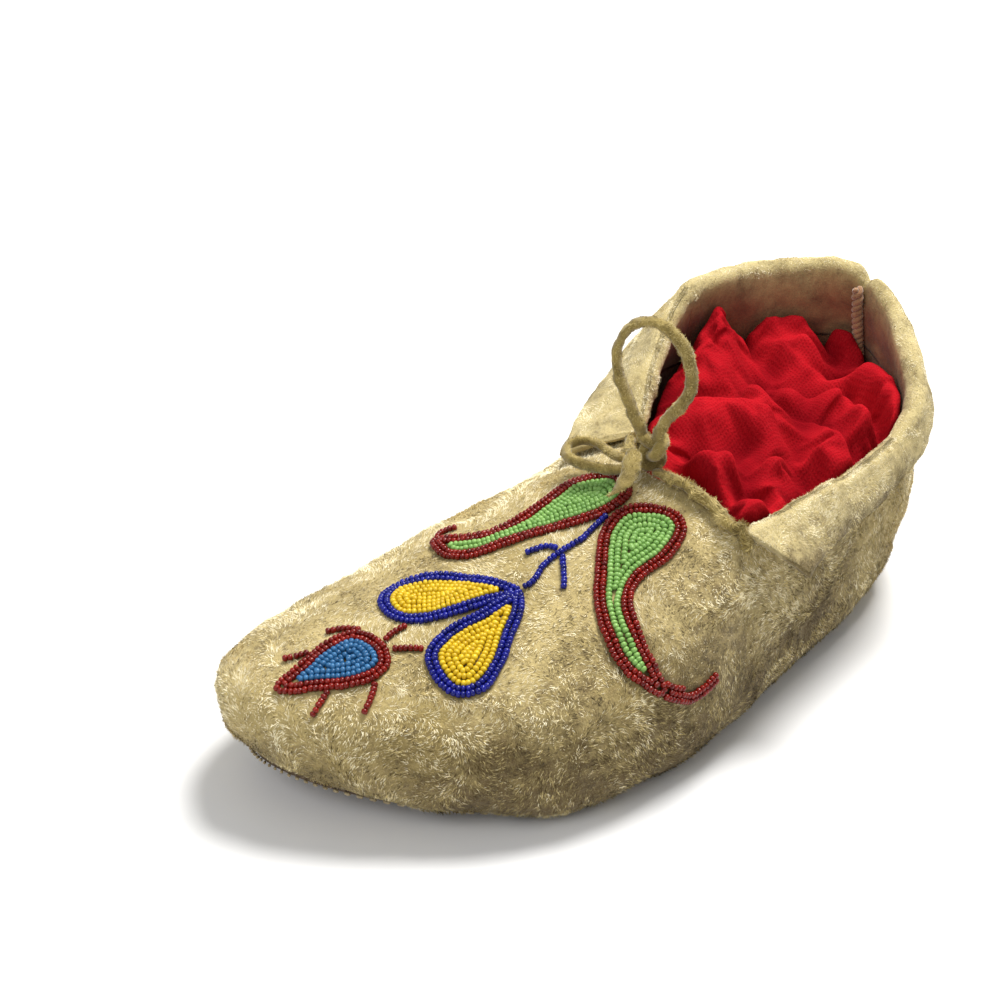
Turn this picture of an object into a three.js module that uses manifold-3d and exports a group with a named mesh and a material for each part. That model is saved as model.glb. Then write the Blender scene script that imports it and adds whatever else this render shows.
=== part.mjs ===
// A beaded buckskin moccasin for the left foot, laced at the instep, with its ankle cuff folded down
// and a red cloth bundle keeping its shape. Millimetres, +Z up, toe towards -Y, outer side towards +X.
// The origin is on the ground under the middle of the shoe.
import * as THREE from "three";
import Module from "manifold-3d";
import { mergeVertices } from "three/addons/utils/BufferGeometryUtils.js";

const wasm = await Module();
wasm.setup();

// ---------------------------------------------------------------- driving dimensions
const GAP = 0.3; // between pieces that touch
const SOLE_THICK = 3;
const SOLE_INSET = 7; // the sole's edge, inside the widest line of the upper
const HIDE = 2; // thickness of the buckskin
const TUCK = 9; // how far the upper turns in under itself to meet the sole
const BULGE_Z = 17; // height of the widest line
const TUCK_SHARE = 0.24; // the share of a profile that lies below the widest line
const SPRING_FROM = -50; // ahead of this the sole curves up towards the toe
const SPRING = 13; // how far it has risen at the toe
const AROUND = 64; // steps round the shoe
const UP = 10; // steps from sole to rim
const SOLE_RUNGS = 28; // steps from toe to heel
const PAD_GAP = 0.5; // between the beadwork and the leather
const BEAD_HIGH = 1.3; // thickness of the beadwork
const BORDER = 1.75; // half the width of two rows of beads
const STRAND = 0.9; // half the width of one row of beads
const THONG = 2; // radius of the tie thong
const CENTRE = [4.36, -3.35]; // the middle of the shoe's box in plan, which goes to the origin

// Stations round the shoe: toe, outer side, heel, inner side. bulge is the widest line seen from above,
// and rim the top edge, where the cuff folds. rise and reach are the handles of the curve between them,
// lean is its slope at the rim in degrees, and edge is the share of the curve that the upper covers:
// the standing part of the cuff makes the rest.
const STATIONS = [
  { bulge: [-14, -130], rim: [8, 1, 67], rise: 20, reach: 50, lean: 19, edge: 1 },
  { bulge: [11, -121], rim: [14, 1, 67], rise: 21, reach: 48, lean: 19, edge: 1 },
  { bulge: [37, -96], rim: [22, 3, 66], rise: 24, reach: 40, lean: 22, edge: 1 },
  { bulge: [55, -64], rim: [33, 4, 63], rise: 27, reach: 28, lean: 30, edge: 1 },
  { bulge: [58, -20], rim: [43, 5, 60], rise: 26, reach: 16, lean: 50, edge: 1 },
  { bulge: [48, 26], rim: [42, 34, 60], rise: 22, reach: 16, lean: 80, edge: 0.86 },
  { bulge: [39, 65], rim: [37, 72, 61], rise: 22, reach: 18, lean: 84, edge: 0.86 },
  { bulge: [27, 96], rim: [28, 96, 73], rise: 26, reach: 24, lean: 86, edge: 0.84 },
  { bulge: [-4, 123], rim: [-8, 114, 92], rise: 28, reach: 30, lean: 86, edge: 0.82 },
  { bulge: [-34, 106], rim: [-31, 96, 92], rise: 28, reach: 30, lean: 84, edge: 0.82 },
  { bulge: [-47, 70], rim: [-39, 67, 90], rise: 26, reach: 30, lean: 80, edge: 0.8 },
  { bulge: [-49, 28], rim: [-28, 40, 78], rise: 26, reach: 18, lean: 55, edge: 0.84 },
  { bulge: [-49, -14], rim: [-13, 18, 67], rise: 28, reach: 22, lean: 30, edge: 0.94 },
  { bulge: [-51, -56], rim: [-6, 8, 67], rise: 28, reach: 30, lean: 24, edge: 1 },
  { bulge: [-46, -94], rim: [-1, 4, 67], rise: 25, reach: 40, lean: 20, edge: 1 },
  { bulge: [-34, -120], rim: [3, 2, 67], rise: 21, reach: 48, lean: 19, edge: 1 },
];

// The folded cuff, at the same stations: flap is its length down from the fold, droop its slope in
// degrees below level, and slant how far its lower edge leads towards the heel.
const CUFF = [
  { at: 4, flap: 13, droop: 42, slant: 14 },
  { at: 5, flap: 10.5, droop: 62, slant: 4 },
  { at: 6, flap: 7.5, droop: 74, slant: 0 },
  { at: 7, flap: 11, droop: 80, slant: 0 },
  { at: 8, flap: 19, droop: 82, slant: 0 },
  { at: 9, flap: 20, droop: 78, slant: 0 },
  { at: 10, flap: 17, droop: 62, slant: 0 },
  { at: 11, flap: 20, droop: 44, slant: 0 },
  { at: 12, flap: 19, droop: 24, slant: 4 },
];

// ---------------------------------------------------------------- curves and surfaces
const radians = THREE.MathUtils.degToRad;

// The value at t of a closed Catmull-Rom curve through numbers.
function around(values, t) {
  const n = values.length;
  const i = Math.floor(t);
  const f = t - i;
  const [a, b, c, d] = [-1, 0, 1, 2].map((k) => values[(((i + k) % n) + n) % n]);
  return b + 0.5 * f * (c - a + f * (2 * a - 5 * b + 4 * c - d + f * (3 * (b - c) + d - a)));
}

const column = (key, axis) => STATIONS.map((s) => (axis === undefined ? s[key] : s[key][axis]));
const COLUMNS = {
  bx: column("bulge", 0),
  by: column("bulge", 1),
  rx: column("rim", 0),
  ry: column("rim", 1),
  rz: column("rim", 2),
  rise: column("rise"),
  reach: column("reach"),
  lean: column("lean"),
  edge: column("edge"),
};

// Everything about the shoe at t, which counts stations from the toe.
function section(t) {
  const at = (key) => around(COLUMNS[key], t);
  const bulge = new THREE.Vector2(at("bx"), at("by"));
  const rim = new THREE.Vector2(at("rx"), at("ry"));
  const step = 0.01;
  const along = new THREE.Vector2(
    around(COLUMNS.bx, t + step) - around(COLUMNS.bx, t - step),
    around(COLUMNS.by, t + step) - around(COLUMNS.by, t - step),
  ).normalize();
  return {
    bulge,
    rim,
    rimZ: at("rz"),
    out: new THREE.Vector2(along.y, -along.x),
    inward: rim.clone().sub(bulge).normalize(),
    run: rim.distanceTo(bulge),
    rise: at("rise"),
    reach: at("reach"),
    lean: radians(at("lean")),
    edge: at("edge"),
  };
}

// A point lifted with the toe.
function sprung(x, y, z) {
  const ahead = Math.max(0, (SPRING_FROM - y) / (SPRING_FROM + 131));
  return new THREE.Vector3(x, y, z + SPRING * ahead ** 1.8);
}

// A point of the leather's outer face: v 0 at the sole, 1 at the rim.
function hide(t, v) {
  const s = section(t);
  if (v < TUCK_SHARE) {
    const turn = (v / TUCK_SHARE) * (Math.PI / 2);
    const inset = TUCK * (1 - Math.sin(turn));
    const foot = SOLE_THICK + GAP;
    const z = foot + (BULGE_Z - foot) * (1 - Math.cos(turn));
    return sprung(s.bulge.x - s.out.x * inset, s.bulge.y - s.out.y * inset, z);
  }
  const f = (v - TUCK_SHARE) / (1 - TUCK_SHARE);
  const curve = new THREE.CubicBezierCurve(
    new THREE.Vector2(0, BULGE_Z),
    new THREE.Vector2(0, BULGE_Z + s.rise),
    new THREE.Vector2(s.run - s.reach * Math.cos(s.lean), s.rimZ - s.reach * Math.sin(s.lean)),
    new THREE.Vector2(s.run, s.rimZ),
  );
  const p = curve.getPoint(f);
  return sprung(s.bulge.x + s.inward.x * p.x, s.bulge.y + s.inward.y * p.x, p.y);
}

// The outward normal of the leather.
function facing(t, v) {
  const h = 0.02;
  const up = hide(t, Math.min(v + h, 1)).sub(hide(t, Math.max(v - h, 0)));
  const round = hide(t + h, v).sub(hide(t - h, v));
  return round.cross(up).normalize();
}

// ---------------------------------------------------------------- solids
function volumeOf(points, faces) {
  let six = 0;
  for (let i = 0; i < faces.length; i += 3) {
    const [a, b, c] = [points[faces[i]], points[faces[i + 1]], points[faces[i + 2]]];
    six += a.dot(new THREE.Vector3().crossVectors(b, c));
  }
  return six / 6;
}

// A closed geometry from points and triangles, with its faces pointing out.
function closed(points, faces) {
  const turned = volumeOf(points, faces) < 0 ? faces.slice().reverse() : faces;
  const geometry = new THREE.BufferGeometry().setFromPoints(points);
  geometry.setIndex(turned);
  geometry.computeVertexNormals();
  return geometry;
}

// A sheet of leather: rows of points, each with the matching row of its other face. ring joins the
// last row to the first.
function sheet(front, back, ring = false) {
  const rows = front.length;
  const wide = front[0].length;
  const points = [...front.flat(), ...back.flat()];
  const at = (i, j, side) => side * rows * wide + (i % rows) * wide + j;
  const faces = [];
  const quad = (a, b, c, d) => faces.push(a, b, c, a, c, d);
  const last = ring ? rows : rows - 1;
  for (let i = 0; i < last; i++) {
    for (let j = 0; j < wide - 1; j++) {
      quad(at(i, j, 0), at(i + 1, j, 0), at(i + 1, j + 1, 0), at(i, j + 1, 0));
      quad(at(i, j, 1), at(i, j + 1, 1), at(i + 1, j + 1, 1), at(i + 1, j, 1));
    }
    quad(at(i, 0, 0), at(i, 0, 1), at(i + 1, 0, 1), at(i + 1, 0, 0));
    quad(at(i, wide - 1, 0), at(i + 1, wide - 1, 0), at(i + 1, wide - 1, 1), at(i, wide - 1, 1));
  }
  if (!ring) {
    for (let j = 0; j < wide - 1; j++) {
      quad(at(0, j, 0), at(0, j + 1, 0), at(0, j + 1, 1), at(0, j, 1));
      quad(at(rows - 1, j, 0), at(rows - 1, j, 1), at(rows - 1, j + 1, 1), at(rows - 1, j + 1, 0));
    }
  }
  return closed(points, faces);
}

function steps(from, to, count) {
  return Array.from({ length: count + 1 }, (_, i) => from + ((to - from) * i) / count);
}

// ---------------------------------------------------------------- upper and sole
function upper() {
  const front = [];
  const back = [];
  for (let i = 0; i < AROUND; i++) {
    const t = (i / AROUND) * STATIONS.length;
    const top = section(t).edge;
    const row = steps(0, top, UP).map((v) => [hide(t, v), facing(t, v)]);
    front.push(row.map(([p]) => p));
    back.push(row.map(([p, n]) => p.clone().addScaledVector(n, -HIDE)));
  }
  return sheet(front, back, true);
}

// Where the sole's outline crosses the line at y, from the inner side to the outer.
function crossing(outline, y) {
  const xs = [];
  outline.forEach((p, i) => {
    const q = outline[(i + 1) % outline.length];
    if (p.y <= y !== q.y <= y) {
      xs.push(p.x + ((q.x - p.x) * (y - p.y)) / (q.y - p.y));
    }
  });
  return [Math.min(...xs), Math.max(...xs)];
}

// The sole is a plate of rungs from its inner edge to its outer, so that its toe can curve up.
function sole() {
  const outline = steps(0, STATIONS.length, 320).slice(1).map((t) => {
    const s = section(t);
    return s.bulge.clone().addScaledVector(s.out, -SOLE_INSET);
  });
  const heel = Math.max(...outline.map((p) => p.y));
  const toe = Math.min(...outline.map((p) => p.y));
  const rungs = steps(0, Math.PI, SOLE_RUNGS).map((a) => (heel + toe) / 2 - ((heel - toe) / 2) * Math.cos(a));
  rungs[0] += 0.05;
  rungs[SOLE_RUNGS] -= 0.05;
  const rows = (z) => rungs.map((y) => crossing(outline, y).map((x) => sprung(x, y, z)));
  return sheet(rows(SOLE_THICK), rows(0));
}

// ---------------------------------------------------------------- cuff
// Where the cuff folds at t: the fold's own corner, the outward direction and the direction along it.
function fold(t) {
  const corner = hide(t, 1);
  const along = hide(t + 0.05, 1).sub(hide(t - 0.05, 1)).normalize();
  const out = new THREE.Vector3(along.y, -along.x, 0).normalize();
  return { corner, along, out };
}

// A value of the cuff's table at t, on straight lines between its entries.
function cuffAt(key, t) {
  const i = Math.min(Math.max(Math.floor(t - CUFF[0].at), 0), CUFF.length - 2);
  const f = t - CUFF[i].at;
  return CUFF[i][key] * (1 - f) + CUFF[i + 1][key] * f;
}

// A flap of the cuff between two stations. Its section starts above the standing part, turns over and
// hangs down outside.
function flap(from, to, count) {
  const front = [];
  const back = [];
  for (const t of steps(from, to, count)) {
    const { corner, along, out } = fold(t);
    const droop = radians(cuffAt("droop", t));
    const length = cuffAt("flap", t);
    const slant = cuffAt("slant", t);
    const line = [new THREE.Vector2(1.6, 1.3), new THREE.Vector2(3.2, 0.9)];
    for (const d of [0.12, 0.4, 0.7, 1]) {
      const reach = 3 + length * d;
      line.push(new THREE.Vector2(1.6 + reach * Math.cos(droop), 0.6 - reach * Math.sin(droop)));
    }
    const place = (p, share) => corner.clone().addScaledVector(out, p.x).addScaledVector(along, slant * share)
      .add(new THREE.Vector3(0, 0, p.y));
    const faces = [0.5, -0.5].map((side) => line.map((p, i) => {
      const before = line[Math.max(i - 1, 0)];
      const after = line[Math.min(i + 1, line.length - 1)];
      const normal = new THREE.Vector2(-(after.y - before.y), after.x - before.x).normalize();
      const share = Math.max(0, i - 1) / (line.length - 2);
      return place(p.clone().addScaledVector(normal, side * HIDE), share);
    }));
    front.push(faces[0]);
    back.push(faces[1]);
  }
  return sheet(front, back);
}

// The part of the cuff that stands up from the upper's edge to the fold.
function collar(from, to, count) {
  const front = [];
  const back = [];
  for (const t of steps(from, to, count)) {
    const { edge } = section(t);
    const row = steps(edge + 0.015, 1, 3).map((v) => [hide(t, v), facing(t, v)]);
    front.push(row.map(([p]) => p));
    back.push(row.map(([p, n]) => p.clone().addScaledVector(n, -HIDE)));
  }
  return sheet(front, back);
}

// ---------------------------------------------------------------- tubes
// A round tube along points.
function tube(points, radius, sides = 8, pitch = 5 * radius) {
  const path = new THREE.CatmullRomCurve3(points, false, "centripetal");
  const section = new THREE.Shape();
  section.absarc(0, 0, radius, 0, 2 * Math.PI, false);
  const count = Math.max(4, Math.round(path.getLength() / pitch));
  return new THREE.ExtrudeGeometry(section, { steps: count, extrudePath: path, curveSegments: sides / 2 });
}

const vectors = (list) => list.map((p) => new THREE.Vector3(...p));

// The whip-stitched seam that joins the cuff and the upper behind the heel, on the inside.
function heelSeam() {
  const line = steps(0.985, 0.74, 5).map((v) => hide(8, v).addScaledVector(facing(8, v), -HIDE - 2.3 - GAP));
  return tube(line, 2.2);
}

// The thread round the sole, in the corner under the upper.
function soleStitching() {
  const rows = (inset, z) => steps(0, STATIONS.length, AROUND).slice(1).map((t) => {
    const s = section(t);
    const p = s.bulge.clone().addScaledVector(s.out, -inset);
    return sprung(p.x, p.y, z);
  });
  const pair = (inset) => [rows(inset, 1.6), rows(inset, 3)];
  const zip = ([low, high]) => low.map((p, i) => [p, high[i]]);
  return sheet(zip(pair(SOLE_INSET - 2)), zip(pair(SOLE_INSET - 0.8)), true);
}

// ---------------------------------------------------------------- tie
const KNOT = [8, 3, 74.5];
const LOOP_LARGE = [
  [11, 3, 82], [13, 3.5, 86], [16, 4.5, 90], [18.5, 5.5, 95], [19, 6, 100], [18, 5.5, 105],
  [15.5, 4.5, 109.5], [12, 3, 113], [7.5, 1, 114.5], [3, -1, 113], [0, -2.5, 109], [-1.5, -3.5, 104],
  [-1, -3.5, 99], [0.5, -3, 94], [2.5, -2, 89.5], [4, -1, 85], [5.5, 0, 82],
];
const LOOP_SMALL = [
  [3.2, -2.6, 71.2], [1, -2.9, 70.8], [-1.6, -3, 70.7], [-4.5, -3, 71], [-8, -3, 71.4], [-11.2, -3.8, 71.5],
  [-13.6, -6, 71.3], [-14, -9.2, 70.8], [-12, -12, 70.2], [-8.8, -13, 69.6], [-5.4, -12.2, 69.2],
  [-2, -10.6, 69], [1.2, -8.8, 68.9], [4, -6.6, 69.1], [6.4, -4.2, 69.3],
];
const TAIL = [
  [7.8, -2.9, 75.4], [8.3, -4.7, 75.3], [9.4, -6.3, 74.8], [10.6, -7.8, 74.2], [11.7, -9.3, 73.4], [12.6, -10.9, 72.5],
  [13.2, -12.6, 71.6], [13.5, -14.3, 70.8], [13.5, -16, 70], [13.3, -17.6, 69.3], [13, -19, 68.7],
];

function knot() {
  const ball = new THREE.SphereGeometry(1, 12, 8);
  ball.scale(5.5, 5, 6.5);
  ball.translate(...KNOT);
  return ball;
}

// The thong lies on the upper's edge from the knot to the slit in each side of the cuff.
function run(from, to) {
  const path = steps(from, to, 5).map((t) => hide(t, 1).add(new THREE.Vector3(0, 0, THONG + GAP + 0.2)));
  return tube(path, THONG);
}

// ---------------------------------------------------------------- beadwork
// The beadwork's flat pattern: a plane over the vamp, square to the middle of the design. x runs to the
// outer side and y up to the instep.
const PATTERN = { origin: [10, -60, 50], facing: [0.42, -0.25, 0.87] };
const LEAF_LEFT = [
  [-29, 4], [-22, 3], [-17, 8], [-14, 17], [-11, 27], [-7, 38], [-5, 46], [-6, 53], [-12, 56], [-17, 54],
  [-21, 46], [-20, 35], [-19, 24], [-21, 15], [-25, 9],
];
const LEAF_RIGHT = [
  [48, 22], [41, 17], [32, 17], [21, 22], [10, 31], [2, 39], [-1, 47], [2, 54], [8, 58], [14, 56], [18, 47],
  [19, 36], [25, 28], [35, 24], [43, 23],
];
const HOOK = [[50.5, 22.6], [53.5, 26], [54.5, 32], [51, 41]];
const CURL = [[-31.8, 5], [-32.5, 8], [-30, 12]];
const PETAL_LEFT = [[3, 7], [-7, 2], [-16, -6], [-20, -16], [-17, -23], [-10, -24], [-5, -19], [-1, -10], [1, -1]];
const PETAL_RIGHT = [
  [4, 6], [4.5, -5], [4, -15], [7, -24], [13, -27], [20, -26], [23, -20], [20, -12], [14, -4], [9, 3],
];
const BUD = [[-8, -62], [-2, -54], [3, -45], [3, -37], [-4, -34], [-11, -37], [-12, -45], [-10, -54]];
const BUD_HAIRS = [
  [[-17, -42], [-15, -38], [-12, -33.5], [-8.5, -31.2]],
  [[-16, -56], [-14.5, -52], [-14.4, -48]],
  [[4, -60], [1, -54]],
  [[12, -49], [8.5, -44], [6.4, -41]],
  [[-3.5, -30.8], [-5, -28], [-5, -24]],
  [[-0.3, -31], [2, -28], [4, -25.6]],
];
const STEM = [[-2.5, 39], [-1, 33], [-1, 26], [0, 19], [3, 13], [3, 9.5]];
const SPRIGS = [
  [[-2.4, 25.4], [-5, 24], [-7, 18]],
  [[0.5, 25], [5, 22], [10, 18]],
];

const backing = new THREE.Mesh(upper());
const raycaster = new THREE.Raycaster();
const across = new THREE.Vector3();
const upward = new THREE.Vector3(0, 1, 0);
const square = new THREE.Vector3(...PATTERN.facing).normalize();
upward.addScaledVector(square, -square.y).normalize();
across.crossVectors(upward, square);

// The point at a height above the leather under a point of the pattern.
function onLeather(p, height) {
  const start = new THREE.Vector3(...PATTERN.origin).addScaledVector(across, p.x).addScaledVector(upward, p.y);
  start.addScaledVector(square, 100);
  raycaster.set(start, square.clone().negate());
  const hit = raycaster.intersectObject(backing)[0];
  return hit.point.clone().addScaledVector(hit.face.normal, height);
}

// A strip of beadwork from rows of pattern points.
function pad(rows, ring = false) {
  const low = rows.map((row) => row.map((p) => onLeather(p, PAD_GAP)));
  const high = rows.map((row) => row.map((p) => onLeather(p, PAD_GAP + BEAD_HIGH)));
  return sheet(high, low, ring);
}

const spline = (points, shut) => new THREE.CatmullRomCurve3(points.map(([x, y]) => new THREE.Vector3(x, y, 0)), shut);

// Rows across a curve, half to each side.
function ribbon(points, half, shut = false) {
  const curve = spline(points, shut);
  const count = Math.max(2, Math.round(curve.getLength() / 4));
  const rows = [];
  for (let i = 0; i < (shut ? count : count + 1); i++) {
    const p = curve.getPointAt(i / count);
    const d = curve.getTangentAt(i / count);
    rows.push([-1, 0, 1].map((k) => new THREE.Vector2(p.x - d.y * half * k, p.y + d.x * half * k)));
  }
  return rows;
}

const border = (points) => pad(ribbon(points, BORDER, true), true);
const strand = (points, half = STRAND) => pad(ribbon(points, half));

// The filling of a border, in rungs between its two sides from tip to round end.
function filling(points, from, to) {
  const curve = spline(points, true);
  const count = Math.round(((to - from) * curve.getLength()) / 4);
  const rows = steps(from, to, count).map((u) => {
    const [left, right] = [curve.getPointAt(u), curve.getPointAt(1 - u)];
    return steps(0.05, 0.95, 3).map((k) => {
      const p = left.clone().lerp(right, k);
      return new THREE.Vector2(p.x, p.y);
    });
  });
  return cutBack(pad(rows), points);
}

function solid(geometry) {
  const bare = geometry.clone();
  bare.deleteAttribute("normal");
  bare.deleteAttribute("uv");
  const merged = mergeVertices(bare);
  const vertProperties = new Float32Array(merged.attributes.position.array);
  const triVerts = new Uint32Array(merged.index.array);
  return new wasm.Manifold(new wasm.Mesh({ numProp: 3, vertProperties, triVerts }));
}

function geometryOf(manifold) {
  const mesh = manifold.getMesh();
  const geometry = new THREE.BufferGeometry();
  geometry.setAttribute("position", new THREE.BufferAttribute(mesh.vertProperties, 3));
  geometry.setIndex([...mesh.triVerts]);
  geometry.computeVertexNormals();
  return geometry;
}

// A piece of beadwork cut back from a neighbouring border, with room between them.
function cutBack(geometry, points) {
  const rows = ribbon(points, BORDER + GAP, true);
  const low = rows.map((row) => row.map((p) => onLeather(p, 0.1)));
  const high = rows.map((row) => row.map((p) => onLeather(p, PAD_GAP + BEAD_HIGH + 0.6)));
  return geometryOf(solid(geometry).subtract(solid(sheet(high, low, true))));
}

// ---------------------------------------------------------------- red cloth
// A bundle that fills the opening and lifts straight out. Its outline is the rim's, set in.
const BUNDLE = { middle: [3, 58], foot: 9, front: 4.5, back: 11.6, inset: 7.5 };

// The cloth stands higher on the inner side, and dips behind the knot.
function bundleTop(x, y) {
  return 62 - 0.24 * x - 0.08 * Math.max(0, 60 - y);
}

function bundle() {
  const outline = steps(BUNDLE.front, BUNDLE.back, 20).map((t) => {
    const { corner, out } = fold(t);
    return corner.clone().addScaledVector(out, -BUNDLE.inset);
  });
  const middle = new THREE.Vector3(...BUNDLE.middle, 0);
  const ringAt = (share, z) => outline.map((p) => {
    const q = middle.clone().lerp(new THREE.Vector3(p.x, p.y, 0), share);
    return new THREE.Vector3(q.x, q.y, z(q.x, q.y));
  });
  const rings = [
    ringAt(0.02, () => BUNDLE.foot),
    ringAt(0.8, () => BUNDLE.foot),
    ringAt(0.97, () => BUNDLE.foot + 8),
    ringAt(1, () => 40),
    ringAt(0.96, (x, y) => bundleTop(x, y) - 6),
    ringAt(0.8, (x, y) => bundleTop(x, y)),
    ringAt(0.45, (x, y) => bundleTop(x, y) + 1.5),
    ringAt(0.02, (x, y) => bundleTop(x, y) + 2),
  ];
  return lathe(rings);
}

// A closed solid from rings, filled in at both ends.
function lathe(rings) {
  const n = rings[0].length;
  const points = rings.flat();
  const faces = [];
  for (let k = 0; k < rings.length - 1; k++) {
    for (let i = 0; i < n; i++) {
      const j = (i + 1) % n;
      faces.push(k * n + i, k * n + j, (k + 1) * n + j, k * n + i, (k + 1) * n + j, (k + 1) * n + i);
    }
  }
  const last = (rings.length - 1) * n;
  for (let i = 1; i < n - 1; i++) {
    faces.push(0, i + 1, i, last, last + i, last + i + 1);
  }
  return closed(points, faces);
}

// ---------------------------------------------------------------- assembly
const BUCKSKIN = 0xcdbb8d;
const THONG_TAN = 0x9c8c58;
const DARK_RED = 0x7a0f10;
const LEAF_GREEN = 0x6cc460;
const COBALT = 0x15158a;
const YELLOW = 0xf0cf1c;
const SKY_BLUE = 0x2f7fc4;

const shoe = new THREE.Group();
function add(name, geometry, color, roughness = 0.9) {
  const mesh = new THREE.Mesh(geometry, new THREE.MeshStandardMaterial({ color, roughness, metalness: 0 }));
  mesh.name = name;
  shoe.add(mesh);
}
add("upper", upper(), BUCKSKIN);
add("sole", sole(), 0x4a3626);
add("sole_stitching", soleStitching(), 0xb9a878);
add("collar", collar(4.5, 12.1, 34), BUCKSKIN);
add("wing_left", flap(4.1, 6.1, 8), BUCKSKIN);
add("heel_flap", flap(6.15, 10.1, 16), BUCKSKIN);
add("wing_right", flap(10.15, 12.3, 8), BUCKSKIN);
add("heel_seam", heelSeam(), THONG_TAN);
add("red_cloth", bundle(), 0xb3121f);
add("tie_knot", knot(), THONG_TAN);
add("tie_run_left", run(0.75, 3.75), THONG_TAN);
add("tie_run_right", run(-1.1, -3.2), THONG_TAN);
add("tie_loop_large", tube(vectors(LOOP_LARGE), THONG), THONG_TAN);
add("tie_loop_small", tube(vectors(LOOP_SMALL), THONG), THONG_TAN);
add("tie_tail", tube(vectors(TAIL), THONG), THONG_TAN);
add("leaf_left_border", border(LEAF_LEFT), DARK_RED, 0.2);
add("leaf_left_curl", strand(CURL), DARK_RED, 0.2);
add("leaf_left_fill", filling(LEAF_LEFT, 0.1, 0.44), LEAF_GREEN, 0.3);
add("leaf_right_border", border(LEAF_RIGHT), DARK_RED, 0.2);
add("leaf_right_hook", strand(HOOK, BORDER), DARK_RED, 0.2);
add("leaf_right_fill", filling(LEAF_RIGHT, 0.1, 0.47), LEAF_GREEN, 0.3);
add("stem", strand(STEM), COBALT, 0.2);
SPRIGS.forEach((points, i) => add(`stem_sprig_${i + 1}`, strand(points), COBALT, 0.2));
add("petal_left_border", border(PETAL_LEFT), COBALT, 0.2);
add("petal_left_fill", filling(PETAL_LEFT, 0.1, 0.45), YELLOW, 0.3);
add("petal_right_border", cutBack(border(PETAL_RIGHT), PETAL_LEFT), COBALT, 0.2);
add("petal_right_fill", filling(PETAL_RIGHT, 0.1, 0.45), YELLOW, 0.3);
add("bud_border", border(BUD), DARK_RED, 0.2);
add("bud_fill", filling(BUD, 0.1, 0.45), SKY_BLUE, 0.3);
BUD_HAIRS.forEach((points, i) => add(`bud_hair_${i + 1}`, strand(points), DARK_RED, 0.2));
shoe.position.set(-CENTRE[0], -CENTRE[1], 0);
export default shoe;
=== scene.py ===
"""The looks of a beaded buckskin moccasin: napped leather, single beads, a suede tie and a red cloth."""

import math

import bmesh
import bpy
import numpy as np
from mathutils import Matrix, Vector, noise
from mathutils.bvhtree import BVHTree
from mathutils.kdtree import KDTree


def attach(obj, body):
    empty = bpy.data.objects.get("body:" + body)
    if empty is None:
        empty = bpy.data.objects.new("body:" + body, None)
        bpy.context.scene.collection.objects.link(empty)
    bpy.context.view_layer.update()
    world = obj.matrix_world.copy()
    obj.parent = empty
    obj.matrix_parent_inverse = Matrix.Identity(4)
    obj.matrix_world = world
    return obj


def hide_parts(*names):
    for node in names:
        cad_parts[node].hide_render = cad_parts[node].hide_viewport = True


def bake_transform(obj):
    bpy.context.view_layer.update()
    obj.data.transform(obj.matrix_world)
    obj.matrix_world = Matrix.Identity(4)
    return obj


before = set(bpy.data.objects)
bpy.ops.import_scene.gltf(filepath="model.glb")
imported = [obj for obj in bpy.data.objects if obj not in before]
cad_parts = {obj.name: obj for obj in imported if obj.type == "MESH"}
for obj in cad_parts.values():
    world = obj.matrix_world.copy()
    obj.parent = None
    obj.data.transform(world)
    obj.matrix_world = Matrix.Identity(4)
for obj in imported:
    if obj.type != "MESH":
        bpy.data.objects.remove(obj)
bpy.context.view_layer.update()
SHOE = "shoe"
MM = 0.001

# ---- driving dimensions, in millimetres
# They repeat the model's own. CENTRE is the middle of the shoe's box in plan, which lies at the origin.
CENTRE = np.array([4.36, -3.35, 0.0])
SOLE_THICK = 3.0
SOLE_INSET = 7.0
HIDE = 2.0
TUCK = 9.0
BULGE_Z = 17.0
TUCK_SHARE = 0.24
FOOT = SOLE_THICK + 0.3
SPRING_FROM = -50.0
TOE_Y = -131.0
SPRING = 13.0
THONG = 2.0

# bulge x, bulge y, rim x, rim y, rim z, rise, reach, lean, from the toe by the outer side to the heel.
STATIONS = np.array([
    [-14, -130, 8, 1, 67, 20, 50, 19],
    [11, -121, 14, 1, 67, 21, 48, 19],
    [37, -96, 22, 3, 66, 24, 40, 22],
    [55, -64, 33, 4, 63, 27, 28, 30],
    [58, -20, 43, 5, 60, 26, 16, 50],
    [48, 26, 42, 34, 60, 22, 16, 80],
    [39, 65, 37, 72, 61, 22, 18, 84],
    [27, 96, 28, 96, 73, 26, 24, 86],
    [-4, 123, -8, 114, 92, 28, 30, 86],
    [-34, 106, -31, 96, 92, 28, 30, 84],
    [-47, 70, -39, 67, 90, 26, 30, 80],
    [-49, 28, -28, 40, 78, 26, 18, 55],
    [-49, -14, -13, 18, 67, 28, 22, 30],
    [-51, -56, -6, 8, 67, 28, 30, 24],
    [-46, -94, -1, 4, 67, 25, 40, 20],
    [-34, -120, 3, 2, 67, 21, 48, 19],
], float)
COUNT = len(STATIONS)
EDGE = np.array([1, 1, 1, 1, 1, 0.86, 0.86, 0.84, 0.82, 0.82, 0.8, 0.84, 0.94, 1, 1, 1])

# The cuff from station 4: flap length, droop in degrees, slant towards the heel.
CUFF_FROM = 4
CUFF = np.array([
    [13, 42, 14], [10.5, 62, 4], [7.5, 74, 0], [11, 80, 0], [19, 82, 0],
    [20, 78, 0], [17, 62, 0], [20, 44, 0], [19, 24, 4],
], float)

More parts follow.
